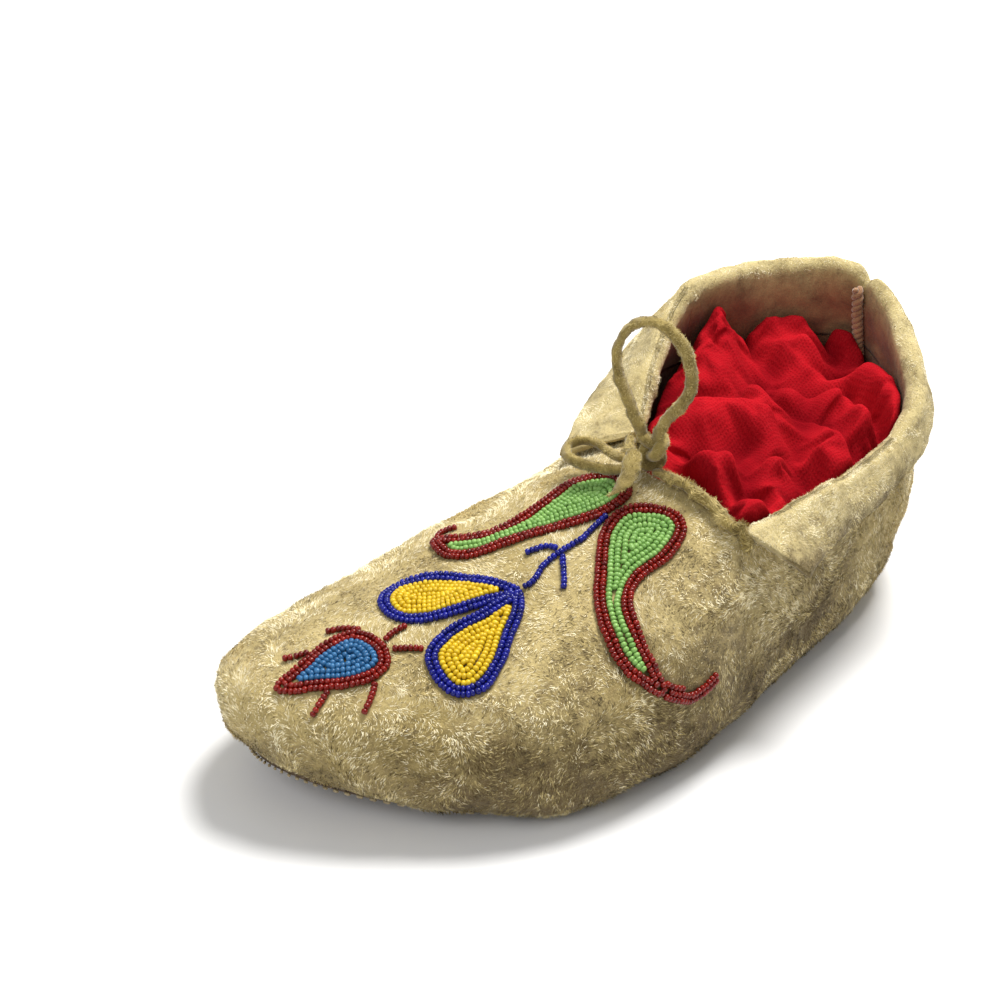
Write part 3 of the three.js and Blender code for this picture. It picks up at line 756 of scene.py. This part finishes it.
def smooth_path(points, step):
    """A path through points with an even step, in mm."""
    points = np.asarray(points, float)
    n = len(points)
    padded = np.vstack([2 * points[0] - points[1], points, 2 * points[-1] - points[-2]])
    dense = []
    for i in range(n - 1):
        a, b, c, d = padded[i : i + 4]
        for f in np.linspace(0, 1, 24, endpoint=False):
            bend = 2 * a - 5 * b + 4 * c - d + f * (3 * (b - c) + d - a)
            dense.append(b + 0.5 * f * (c - a + f * bend))
    dense.append(points[-1])
    return resample(np.array(dense), step)


def resample(dense, step):
    """Points along a line with an even step."""
    far = np.concatenate([[0], np.cumsum(np.linalg.norm(np.diff(dense, axis=0), axis=1))])
    count = max(2, int(round(far[-1] / step)) + 1)
    at = np.linspace(0, far[-1], count)
    return np.stack([np.interp(at, far, dense[:, k]) for k in range(dense.shape[1])], 1)


def tube_mesh(path, radius, sides=16, flat=0.75, rough=0.25, twist=0.02, seed=0.0, taper=3, point=0):
    """A strip of suede rolled by use: an oval section with a soft uneven surface and round ends.

    point is how many of the last rings come down to a tip."""
    a, b = frames(path)
    n = len(path)
    angles = np.linspace(0, 2 * math.pi, sides, endpoint=False)
    rings = []
    for k in range(n):
        end = min(k, n - 1 - k)
        size = 1.0 if end >= taper else math.sqrt(1 - ((taper - end) / (taper + 0.4)) ** 2)
        if n - 1 - k < point:
            size = 0.12 + 0.88 * (n - 1 - k) / point
        turn = twist * k
        x = radius * np.cos(angles) * size
        y = radius * flat * np.sin(angles) * size
        x, y = x * math.cos(turn) - y * math.sin(turn), x * math.sin(turn) + y * math.cos(turn)
        rings.append(path[k] + x[:, None] * a[k] + y[:, None] * b[k])
    points = np.array(rings)
    spread = points - path[:, None, :]
    points = points + spread * (rough * fbm(points, 2.6, seed, 3))[..., None]
    return points.reshape(-1, 3), tube_faces(n, sides)


def nap_thong(obj, count, length, seed):
    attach(make_nap_on(obj, count, (length, 0.13), 0.55, "thong_nap", seed), SHOE)


def make_thong(name, route, node, cord=None, radius=THONG - 0.2, nap_length=0.75, **shape):
    """A length of the tie with its nap. cord is not used."""
    path = smooth_path(route, 0.55)
    obj = make_piece(name, *tube_mesh(path, radius, **shape), "thong", "thong", node)
    nap_thong(obj, 60 * len(path), nap_length, len(path))


def rim_route(start, stop, count):
    return [hide(t, 1.0) + np.array([0, 0, THONG + 0.3]) for t in np.linspace(start, stop, count)]


def make_knot():
    """An overhand knot of the same thong: a trefoil, drawn tight."""
    s = np.linspace(0, 2 * math.pi, 160, endpoint=False)
    x = np.sin(s) + 2 * np.sin(2 * s)
    y = np.cos(s) - 2 * np.cos(2 * s)
    z = -np.sin(3 * s)
    path = np.stack([x * 1.45, z * 1.9, y * 1.75], 1) + np.array(KNOT)
    a, b = frames(np.vstack([path, path[:2]]))
    sides = 16
    angles = np.linspace(0, 2 * math.pi, sides, endpoint=False)
    rings = [path[k] + 1.95 * np.cos(angles)[:, None] * a[k] + 1.7 * np.sin(angles)[:, None] * b[k]
             for k in range(len(path))]
    points = np.array(rings)
    points += (points - path[:, None, :]) * (0.2 * fbm(points, 2.6, 8.2, 3))[..., None]
    faces = grid_faces(len(path), sides, True, True)
    obj = make_piece("knot", points.reshape(-1, 3), faces, "thong", "thong", "tie_knot")
    nap_thong(obj, 3500, 0.8, 34)


def make_tie():
    tied = {"far_end": "knot", "lay": "loose"}
    into_knot = [(9.2, 2.6, 76), (10, 2.8, 79)]
    out_of_knot = [(6, 0.8, 79), (6.8, 1.6, 76)]
    make_thong("bow_loop_large", into_knot + LOOP_LARGE + out_of_knot, "tie_loop_large", cord=tied)
    make_thong("bow_loop_small", LOOP_SMALL, "tie_loop_small", cord=tied, seed=4.0)
    make_thong("bow_tail", TAIL, "tie_tail", seed=6.0, flat=0.42, radius=2.5, point=12)
    under_cuff = np.array(4.1), np.array(0.93)
    end = hide(*under_cuff) + facing(*under_cuff) * THONG
    make_thong("thong_run_left", rim_route(0.6, 3.98, 14) + [end], "tie_run_left", seed=2.0, nap_length=1.5)
    make_thong("thong_run_right", rim_route(-0.9, -3.4, 10), "tie_run_right", seed=3.0, nap_length=1.2)
    make_knot()


def make_heel_seam():
    """Whip stitches wound round a ridge: two strands that twist round each other."""
    v = np.linspace(0.99, 0.76, 120)
    t = np.full(len(v), HEEL_SEAM)
    line = hide(t, v) - facing(t, v) * (HIDE + 2.0)
    a, b = frames(line)
    points, faces = [], []
    for strand in range(2):
        turn = np.arange(len(v)) * 0.32 + strand * math.pi
        path = line + a * (0.9 * np.cos(turn))[:, None] + b * (0.9 * np.sin(turn))[:, None]
        p, f = tube_mesh(path, 1.05, sides=10, flat=0.9, rough=0.15, twist=0, seed=strand)
        faces += [[k + len(points) for k in face] for face in f]
        points += p.tolist()
    make_piece("heel_whip_stitch", np.array(points), faces, "seam", "thong", "heel_seam")


STITCHES = 150


def make_sole_stitching():
    """Short slanting stitches round the joint of sole and upper."""
    points, faces = [], []
    for k in range(STITCHES):
        t = np.array(k / STITCHES * COUNT)
        bulge, out = around(STATIONS[:, :2], t), outward(t)
        ahead = around(STATIONS[:, :2], t + 0.05)
        low = bulge - out * (SOLE_INSET + 1.9)
        high = ahead - out * (SOLE_INSET + 0.6)
        a = sprung(low[0], low[1], np.array(0.5))
        c = sprung(high[0], high[1], np.array(1.2))
        path = resample(np.array([a, c]), 0.5)
        p, f = tube_mesh(path, 0.45, sides=6, flat=1, rough=0, twist=0, taper=1)
        faces += [[i + len(points) for i in face] for face in f]
        points += p.tolist()
    make_piece("sole_stitches", np.array(points), faces, "sinew", "sinew", "sole_stitching")


# ---- beads
# A bead's length and thickness, its middle's height over the leather, and how close beads and rows are.
BEAD_LONG = 1.46
BEAD_THICK = 1.93
BEAD_RISE = 0.85
BEAD_PITCH = 1.38
ROW = 1.75
MOST_ROWS = 12
facing_n = PATTERN_FACING / np.linalg.norm(PATTERN_FACING)
pattern_up = np.array([0, 1, 0]) - facing_n * facing_n[1]
pattern_up /= np.linalg.norm(pattern_up)
pattern_across = np.cross(pattern_up, facing_n)


def bead_shape(sides=9, rings=5):
    """A seed bead along x: a short barrel with round ends."""
    points = [(-0.5, 0, 0)]
    for k in range(1, rings + 1):
        a = math.pi * k / (rings + 1)
        r = math.sin(a) ** 0.55
        points += [(-0.5 * math.cos(a), 0.5 * r * math.cos(b), 0.5 * r * math.sin(b))
                   for b in np.linspace(0, 2 * math.pi, sides, endpoint=False)]
    points.append((0.5, 0, 0))
    last = len(points) - 1
    faces = [(0, 1 + (j + 1) % sides, 1 + j) for j in range(sides)]
    for k in range(rings - 1):
        a, b = 1 + k * sides, 1 + (k + 1) * sides
        faces += [(a + j, a + (j + 1) % sides, b + (j + 1) % sides, b + j) for j in range(sides)]
    a = 1 + (rings - 1) * sides
    faces += [(a + j, a + (j + 1) % sides, last) for j in range(sides)]
    return np.array(points), faces


BEAD_POINTS, BEAD_FACES = bead_shape()


def on_leather(tree, path):
    """Points and normals of the leather under pattern points."""
    spots, normals = [], []
    for x, y in path:
        start = PATTERN_ORIGIN + pattern_across * x + pattern_up * y + facing_n * 60
        hit, normal, _, _ = tree.ray_cast(Vector(start), Vector(-facing_n))
        if hit is None:
            continue
        spots.append(hit)
        normals.append(normal if normal.dot(Vector(facing_n)) > 0 else -normal)
    return np.array(spots), np.array(normals)


def closed_curve(points):
    points = np.asarray(points, float)
    dense = around(points, np.linspace(0, len(points), len(points) * 40))
    return resample(dense, 0.3)


def sides_of(curve, closed=True):
    """Directions along a curve."""
    along = np.roll(curve, -1, 0) - np.roll(curve, 1, 0) if closed else np.gradient(curve, axis=0)
    return along / np.maximum(np.linalg.norm(along, axis=1, keepdims=True), 1e-9)


def settle(tree, points):
    """The nearest places on the leather to points, and its normals there."""
    found = [tree.find_nearest(Vector(p)) for p in points]
    spots = np.array([f[0] for f in found])
    normals = np.array([f[1] if f[1].dot(Vector(facing_n)) > 0 else -f[1] for f in found])
    return spots, normals


class Outline:
    """A closed outline of the beadwork, laid on the leather."""

    def __init__(self, tree, points):
        self.tree = tree
        self.flat = closed_curve(points)
        x, y = self.flat.T
        turn = np.sign(np.sum(x * np.roll(y, -1) - y * np.roll(x, -1)))
        self.spots, self.normals = on_leather(tree, self.flat)
        self.inward = np.cross(self.normals, sides_of(self.spots)) * turn

    def lane(self, distance):
        """The outline moved inward by a distance over the leather, without the loops that this makes."""
        moved = self.spots + self.inward * distance
        apart = np.linalg.norm(moved[:, None, :] - self.spots[None, :, :], axis=2).min(1)
        moved = moved[apart > abs(distance) - 0.08]
        if len(moved) < 8:
            return None
        return settle(self.tree, np.vstack([moved, moved[:1]]))

    def holds(self, points):
        """Whether pattern points lie inside the outline."""
        a, b = self.flat, np.roll(self.flat, -1, 0)
        x, y = points[:, :1], points[:, 1:]
        crosses = (a[:, 1] > y) != (b[:, 1] > y)
        slope = np.where(b[:, 1] == a[:, 1], 1e-9, b[:, 1] - a[:, 1])
        at = a[:, 0] + (y - a[:, 1]) * (b[:, 0] - a[:, 0]) / slope
        return (crosses & (x < at)).sum(1) % 2 == 1


def strung(spots, normals):
    """Centres, directions and normals of the beads strung along places on the leather."""
    far = np.concatenate([[0], np.cumsum(np.linalg.norm(np.diff(spots, axis=0), axis=1))])
    if far[-1] < BEAD_PITCH:
        return []
    count = int(round(far[-1] / BEAD_PITCH))
    at = (np.arange(count) + 0.5) * far[-1] / count

    def along(values, where):
        return np.stack([np.interp(where, far, values[:, k]) for k in range(3)], 1)

    ahead = along(spots, np.minimum(at + 0.7, far[-1])) - along(spots, np.maximum(at - 0.7, 0))
    return list(zip(along(spots, at), ahead, unit(along(normals, at))))


def border_beads(outline):
    beads = []
    for side in (0.5, -0.5):
        beads += strung(*outline.lane(side * ROW))
    return beads


def filling_beads(outline):
    """Rows inside the border, one in another, and single beads where there is room left."""
    beads = []
    for k in range(MOST_ROWS):
        lane = outline.lane((1.52 + k) * ROW)
        if lane is None:
            break
        beads += strung(*lane)
    low, high = outline.flat.min(0), outline.flat.max(0)
    grid = np.meshgrid(*[np.arange(a, b, 0.45) for a, b in zip(low, high)])
    grid = np.stack(grid, -1).reshape(-1, 2)
    grid = grid[outline.holds(grid)]
    spots, normals = on_leather(outline.tree, grid)
    from_edge = np.linalg.norm(spots[:, None] - outline.spots[None, ::3], axis=2).min(1)
    keep = from_edge > 1.4 * ROW
    spots, normals = spots[keep], normals[keep]
    if not len(spots):
        return beads
    centres = np.array([b[0] for b in beads])
    room = np.linalg.norm(spots[:, None] - centres[None], axis=2).min(1)
    tip = outline.spots[0] - outline.spots.mean(0)
    while room.max() > 0.74 * ROW:
        k = room.argmax()
        beads.append((spots[k], tip, normals[k]))
        room = np.minimum(room, np.linalg.norm(spots - spots[k], axis=1))
    return beads


def strand_beads(tree, points, lanes):
    """Rows of beads along a path: each lane is its offset in rows and the share of the path it takes."""
    path = smooth_path(points, 0.3)
    beads = []
    for offset, share in lanes:
        spots, normals = on_leather(tree, path[: int(len(path) * share)])
        side = np.cross(normals, sides_of(spots, False)) * offset * ROW * 0.94
        beads += strung(*settle(tree, spots + side))
    others = np.array(BEAD_CENTRES)
    rooms = [np.linalg.norm(others - spot - normal * BEAD_RISE, axis=1).min() for spot, _, normal in beads]
    return [bead for bead, room in zip(beads, rooms) if room > 0.72 * ROW]


BEAD_CENTRES = []


def make_beads(node, beads, color, seed):
    """One piece of beadwork, from the places of its beads."""
    rng = np.random.default_rng(seed)
    points, tones, faces = [], [], []
    for centre, along, normal in beads:
        along = along / np.linalg.norm(along) + normal * rng.normal(0, 0.06)
        along = along + np.cross(along, normal) * rng.normal(0, 0.06)
        side = np.cross(normal, along)
        side /= np.linalg.norm(side)
        up = np.cross(along, side)
        long = BEAD_LONG * rng.normal(1, 0.06)
        thick = BEAD_THICK * rng.normal(1, 0.03)
        where = centre + normal * (BEAD_RISE + rng.normal(0, 0.05)) + side * rng.normal(0, 0.04)
        shape = BEAD_POINTS * (long, thick, thick)
        base = len(points) * len(BEAD_POINTS)
        points.append(where + shape[:, :1] * along + shape[:, 1:2] * side + shape[:, 2:] * up)
        tones.append(np.full(len(BEAD_POINTS), np.clip(rng.normal(0.5, 0.25), 0, 1)))
        faces += [[k + base for k in face] for face in BEAD_FACES]
        BEAD_CENTRES.append(where)
    obj = make_piece(node + "_beads", np.vstack(points), faces, color, "beads_" + color, node)
    set_attribute(obj, "tone", np.concatenate(tones))


def make_beadwork(tree):
    """The flower: filled outlines first, and then the strands that run between them."""
    seed = 0
    for name, points, border, fill in [
        ("leaf_left", LEAF_LEFT, "dark_red", "green"), ("leaf_right", LEAF_RIGHT, "dark_red", "green"),
        ("petal_left", PETAL_LEFT, "cobalt", "yellow"), ("petal_right", PETAL_RIGHT, "cobalt", "yellow"),
        ("bud", BUD, "dark_red", "sky_blue"),
    ]:
        outline = Outline(tree, points)
        make_beads(name + "_border", border_beads(outline), border, seed)
        make_beads(name + "_fill", filling_beads(outline), fill, seed + 1)
        seed += 2
    one_row = ((0, 1),)
    tapering = ((-0.5, 1), (0.5, 1), (1.5, 0.5))
    strands = [("leaf_left_curl", CURL, one_row, "dark_red"),
               ("leaf_right_hook", HOOK, tapering, "dark_red"),
               ("stem", STEM, one_row, "cobalt")]
    strands += [(f"stem_sprig_{i + 1}", points, one_row, "cobalt") for i, points in enumerate(SPRIGS)]
    strands += [(f"bud_hair_{i + 1}", points, one_row, "dark_red") for i, points in enumerate(BUD_HAIRS)]
    for node, points, lanes, color in strands:
        make_beads(node, strand_beads(tree, points, lanes), color, seed)
        seed += 1


# ---- red cloth
BUNDLE_MIDDLE = np.array([2.0, 60.0])
BUNDLE_FOOT = 14.0
BUNDLE_DIP = 65.5
BUNDLE_ROUND = 128
VOXEL = 2.1
# The cloth simulation's frames, and how far it may move a point.
CRUMPLE_FRAMES = 22
CRUMPLE_CAP = 4.0
# Where the cloth's top meets the wall, at the stations from the toe.
CLOTH_EDGE = np.array([60, 60, 59, 58, 57, 56, 57, 64, 70, 74, 81, 73, 63, 61, 60, 60], float)
# How far the cloth's side is in from the rim's outer corner, at the same stations.
CLOTH_INSET = np.array([3.6, 3.6, 3.6, 3.8, 4.0, 4.1, 3.7, 3, 2.6, 2.6, 2.4, 0.8, 2.4, 3.4, 3.6, 3.6])


def cloth_folds(p):
    """Heights of the folds that bunched cloth makes: round ridges with narrow valleys between them."""
    warp = np.stack([fbm(p + k * 31.0, 34, 2.0, 2) for k in range(3)], 1) * 12
    q = (p + warp) * np.array([0.75, 1.1, 0.8])
    large = np.abs(fbm(q, 25, 4.4, 1))
    small = np.abs(fbm(q[:, [1, 0, 2]] + 50, 12, 8.8, 1))
    return 36 * (large - 0.19) + 13 * (small - 0.2) + 0.4 * fbm(p, 5, 1.0, 2)


def make_cloth():
    """The bundle: a closed skin, bunched inside the shoe, that the cloth simulation settles."""
    t = np.arange(BUNDLE_ROUND) / BUNDLE_ROUND * COUNT
    along = hide(t + 0.05, 1.0) - hide(t - 0.05, 1.0)
    out = unit(np.stack([along[:, 1], -along[:, 0]], 1))
    outline = hide(t, 1.0)[:, :2] - out * around(CLOTH_INSET, t)[:, None]
    edge = around(CLOTH_EDGE, t)
    rings = []
    for share, height in [(0.02, 0), (0.5, 0), (0.9, 0.02), (1, 0.3), (1, 0.75), (1, 0.95)]:
        p = BUNDLE_MIDDLE + (outline - BUNDLE_MIDDLE) * share
        rings.append(np.column_stack([p, BUNDLE_FOOT + (edge - 1.5 - BUNDLE_FOOT) * height]))
    for share in (0.97, 0.9, 0.8, 0.65, 0.5, 0.35, 0.2, 0.02):
        p = BUNDLE_MIDDLE + (outline - BUNDLE_MIDDLE) * share
        rings.append(np.column_stack([p, edge * share**2 + BUNDLE_DIP * (1 - share**2)]))
    points = np.stack(rings, 0)
    n, wide = points.shape[:2]
    faces = grid_faces(n, wide, ring_columns=True).tolist()
    faces.append(list(range(wide)))
    faces.append([(n - 1) * wide + k for k in range(wide)][::-1])
    obj = make_object("red_cloth_bundle", points.reshape(-1, 3), faces, None)
    face_out(obj)
    remesh = obj.modifiers.new("remesh", "REMESH")
    remesh.mode = "VOXEL"
    remesh.voxel_size = VOXEL * MM
    apply_modifiers(obj)
    place = np.array([v.co for v in obj.data.vertices]) / MM + CENTRE
    top = np.clip((place[:, 2] - 46) / 10, 0, 1)
    folds = cloth_folds(place)
    pleats = cloth_folds(place * np.array([1, 1, 0.45]) + 200)
    drawn_in = np.clip(0.055 - 0.008 * pleats, 0, 0.15) * (1 - top)
    place[:, :2] += (BUNDLE_MIDDLE - place[:, :2]) * drawn_in[:, None]
    place[:, 2] += np.clip(folds, -9, 7.5) * top
    obj.data.vertices.foreach_set("co", ((place - CENTRE) * MM).ravel())
    # Painted shade: how deep each point lies in a fold's valley, which the cloth's material paints darker.
    set_attribute(obj, "painted_valley_shade", np.clip(-folds / 7, 0, 1) * top)
    crumple(obj, outline - CENTRE[:2])
    fine = obj.modifiers.new("fine", "SUBSURF")
    fine.levels = 1
    fine.render_levels = 1
    apply_modifiers(obj)
    obj.data.polygons.foreach_set("use_smooth", [True] * len(obj.data.polygons))
    paint(obj, "cloth")
    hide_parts("red_cloth")
    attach(obj, "red_cloth")


def apply_modifiers(obj):
    bpy.context.view_layer.update()
    evaluated = obj.evaluated_get(bpy.context.evaluated_depsgraph_get())
    mesh = bpy.data.meshes.new_from_object(evaluated)
    obj.modifiers.clear()
    old = obj.data
    obj.data = mesh
    bpy.data.meshes.remove(old)


def crumple(obj, walls):
    """Cloth simulation: the skin grows a little and is held at the walls, so it settles into wrinkles."""
    rest = np.array([v.co for v in obj.data.vertices])
    group = obj.vertex_groups.new(name="held")
    from_wall = np.linalg.norm(rest[:, None, :2] - walls[None] * MM, axis=2).min(1)
    low = np.clip((0.048 - rest[:, 2]) / 0.008, 0, 1)
    held = np.maximum(low, np.clip((0.0045 - from_wall) / 0.003, 0, 1))
    for index, weight in enumerate(held):
        if weight > 0:
            group.add([index], float(weight), "REPLACE")
    cloth = obj.modifiers.new("cloth", "CLOTH")
    settings = cloth.settings
    settings.quality = 5
    settings.mass = 0.1
    settings.tension_stiffness = 10
    settings.compression_stiffness = 10
    settings.shear_stiffness = 3
    settings.bending_stiffness = 0.05
    settings.shrink_min = -0.07
    settings.use_pressure = True
    settings.uniform_pressure_force = 0.6
    settings.vertex_group_mass = "held"
    settings.effector_weights.gravity = 0.15
    cloth.collision_settings.use_collision = False
    cloth.collision_settings.use_self_collision = True
    cloth.collision_settings.self_distance_min = 0.0012
    scene = bpy.context.scene
    scene.frame_start = 1
    scene.frame_end = CRUMPLE_FRAMES
    cloth.point_cache.frame_end = CRUMPLE_FRAMES
    for step in range(1, CRUMPLE_FRAMES + 1):
        scene.frame_set(step)
    evaluated = obj.evaluated_get(bpy.context.evaluated_depsgraph_get())
    moved = np.array([v.co for v in evaluated.data.vertices])
    obj.modifiers.clear()
    shift = moved - rest
    length = np.linalg.norm(shift, axis=1, keepdims=True)
    shift *= np.minimum(1, CRUMPLE_CAP * MM / np.maximum(length, 1e-9))
    obj.data.vertices.foreach_set("co", (rest + shift).ravel())
    obj.data.update()
    scene.frame_set(1)


# ---- nap
def make_fibres(name, roots, normals, lean, size, tone, material, seed):
    """Short flat fibres, each bent once: roots and normals in mm, lean the way each one lies."""
    rng = np.random.default_rng(seed)
    long, wide = size
    count = len(roots)
    side = unit(np.cross(normals, lean))
    roll = rng.uniform(-0.6, 0.6, count)
    side = side * np.cos(roll)[:, None] + normals * np.sin(roll)[:, None]
    half = side * (wide * rng.uniform(0.6, 1.3, count) / 2)[:, None]
    reach = long * rng.uniform(0.5, 1.5, count)
    lift = rng.uniform(0.15, 0.75, count)
    curl = rng.uniform(-0.35, 0.5, count)
    way = unit(lean + normals * lift[:, None])
    bent = unit(way + normals * curl[:, None] + side * rng.normal(0, 0.45, count)[:, None])
    root = roots - normals * 0.1
    knee = root + way * (reach * 0.5)[:, None]
    tip = knee + bent * (reach * 0.5)[:, None]
    points = np.stack([root - half, root + half, knee + half * 0.8, knee - half * 0.8, tip], 1)
    points = points.reshape(-1, 3)
    base = np.arange(count)[:, None] * 5
    quads = (base + np.array([0, 1, 2, 3])).tolist()
    tips = (base + np.array([3, 2, 4])).tolist()
    obj = make_object(name, points, quads + tips, None)
    obj.data.materials.clear()
    for step in MATERIALS[material]:
        obj.data.materials.append(step)
    steps = np.clip(np.rint(tone * (NAP_STEPS - 1)), 0, NAP_STEPS - 1).astype(int)
    obj.data.polygons.foreach_set("material_index", np.tile(steps, 2))
    return obj


def swirl(p, normals, scale, seed):
    """Directions over the surface that turn slowly from place to place, as brushed nap does."""
    turn = fbm(p, scale, seed, 2) * 2.6 * math.pi
    a = unit(np.cross(normals, [0.21, 0.35, 0.91]))
    b = np.cross(normals, a)
    return a * np.cos(turn)[:, None] + b * np.sin(turn)[:, None]


# Fibres to each of the upper's three pieces of nap, and the room that they leave round a bead's middle.
UPPER_FIBRES = 64000
BEAD_ROOM = 1.7


def clear_of_beads(p):
    tree = KDTree(len(BEAD_CENTRES))
    for index, centre in enumerate(BEAD_CENTRES):
        tree.insert(Vector(centre), index)
    tree.balance()
    return np.array([tree.find(Vector(q))[2] > BEAD_ROOM for q in p])


def make_upper_nap(name, count, seed):
    """Fibres over the upper's outer face, as many to each part as its area asks."""
    rng = np.random.default_rng(seed)
    t = rng.uniform(0, COUNT, count * 5)
    v = rng.uniform(0.01, 1, count * 5) * around(EDGE, t)
    step = 0.01
    area = np.linalg.norm(np.cross(hide(t + step, v) - hide(t, v), hide(t, v) - hide(t, v - step)), axis=1)
    keep = rng.uniform(0, 1, len(t)) < area / np.quantile(area, 0.97)
    t, v = t[keep][:count], v[keep][:count]
    normals = facing(t, v)
    p = hide(t, v)
    p = p + normals * (lumps(p) + fullness(t, v))[:, None]
    p[:, 2] -= foot_drop(p, v * HIGH / around(EDGE, t) / 20)
    pits = fbm(p, 3.1, 12.7, 2) > 0.36
    keep = clear_of_beads(p) & ~(pits & (rng.uniform(0, 1, len(p)) < 0.8))
    p, normals = p[keep], normals[keep]
    lean = swirl(p, normals, 42, 6.1) + rng.normal(0, 0.35, p.shape)
    lean = unit(lean - normals * (lean * normals).sum(1)[:, None])
    dark = soil_of(p)
    for share, scale, noise_seed in ((0.5, 11, 2.2), (0.6, 3.6, 4.4), (0.75, 1.3, 8.8)):
        dark = dark + share * fbm(p, scale, noise_seed, 2)
    tone = np.clip(rng.normal(0.78, 0.24, len(p)) - 0.66 * dark, 0, 1)
    obj = make_fibres(name, p, normals, lean, (1.3, 0.18), tone, "nap", seed + 1)
    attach(obj, SHOE)


def scatter(obj, count, seed):
    """Even random places on an object's faces, in mm, with the normals, the stain and the dirt there, which
    on the cuff's flaps holds painted shade too.
    """
    rng = np.random.default_rng(seed)
    mesh = obj.data
    areas = np.array([f.area for f in mesh.polygons])
    corners = [tuple(f.vertices)[:4] for f in mesh.polygons]
    corners = np.array([c if len(c) == 4 else (c + c[-1:])[:4] for c in corners])
    co = np.array([v.co for v in mesh.vertices])
    facing_out = np.array([f.normal for f in mesh.polygons])
    picks = rng.choice(len(areas), count, p=areas / areas.sum())
    a, b = rng.uniform(0, 1, (2, count, 1))
    c = co[corners[picks]]
    points = (c[:, 0] * (1 - a) + c[:, 1] * a) * (1 - b) + (c[:, 3] * (1 - a) + c[:, 2] * a) * b
    found = [points / MM + CENTRE, facing_out[picks]]
    for name in ("stain", "soil_and_shade"):
        values = mesh.attributes.get(name)
        values = np.array([d.value for d in values.data]) if values else np.zeros(len(co))
        found.append(values[corners[picks][:, 0]])
    return found


def make_nap_on(obj, count, size, tone, material, seed):
    """Nap on an object, left off where the object is stained."""
    rng = np.random.default_rng(seed)
    p, normals, stain, soil_and_shade = scatter(obj, count, seed)
    keep = rng.uniform(0, 1, count) > stain * 3
    p, normals = p[keep], normals[keep]
    # Fibres are darker where the leather is dirty, and on the cuff's flaps where painted shade lies below
    # the fold.
    dark = 0.55 * soil_and_shade[keep] + 0.5 * fbm(p, 4, 1.9, 2)
    shade = np.clip(rng.normal(tone, 0.28, len(p)) - dark, 0, 1)
    lean = swirl(p, normals, 25, 2.3)
    return make_fibres(obj.name + "_nap", p, normals, lean, size, shade, material, seed)


# ---- scene
make_camera()
make_stage()
make_materials()
make_tie()
leather = make_upper()
make_cuffs()
make_sole()
make_sole_stitching()
make_heel_seam()
make_beadwork(leather)
for index, nap_seed in enumerate((71, 73, 75)):
    make_upper_nap(f"upper_nap_{index + 1}", UPPER_FIBRES, nap_seed)
make_cloth()
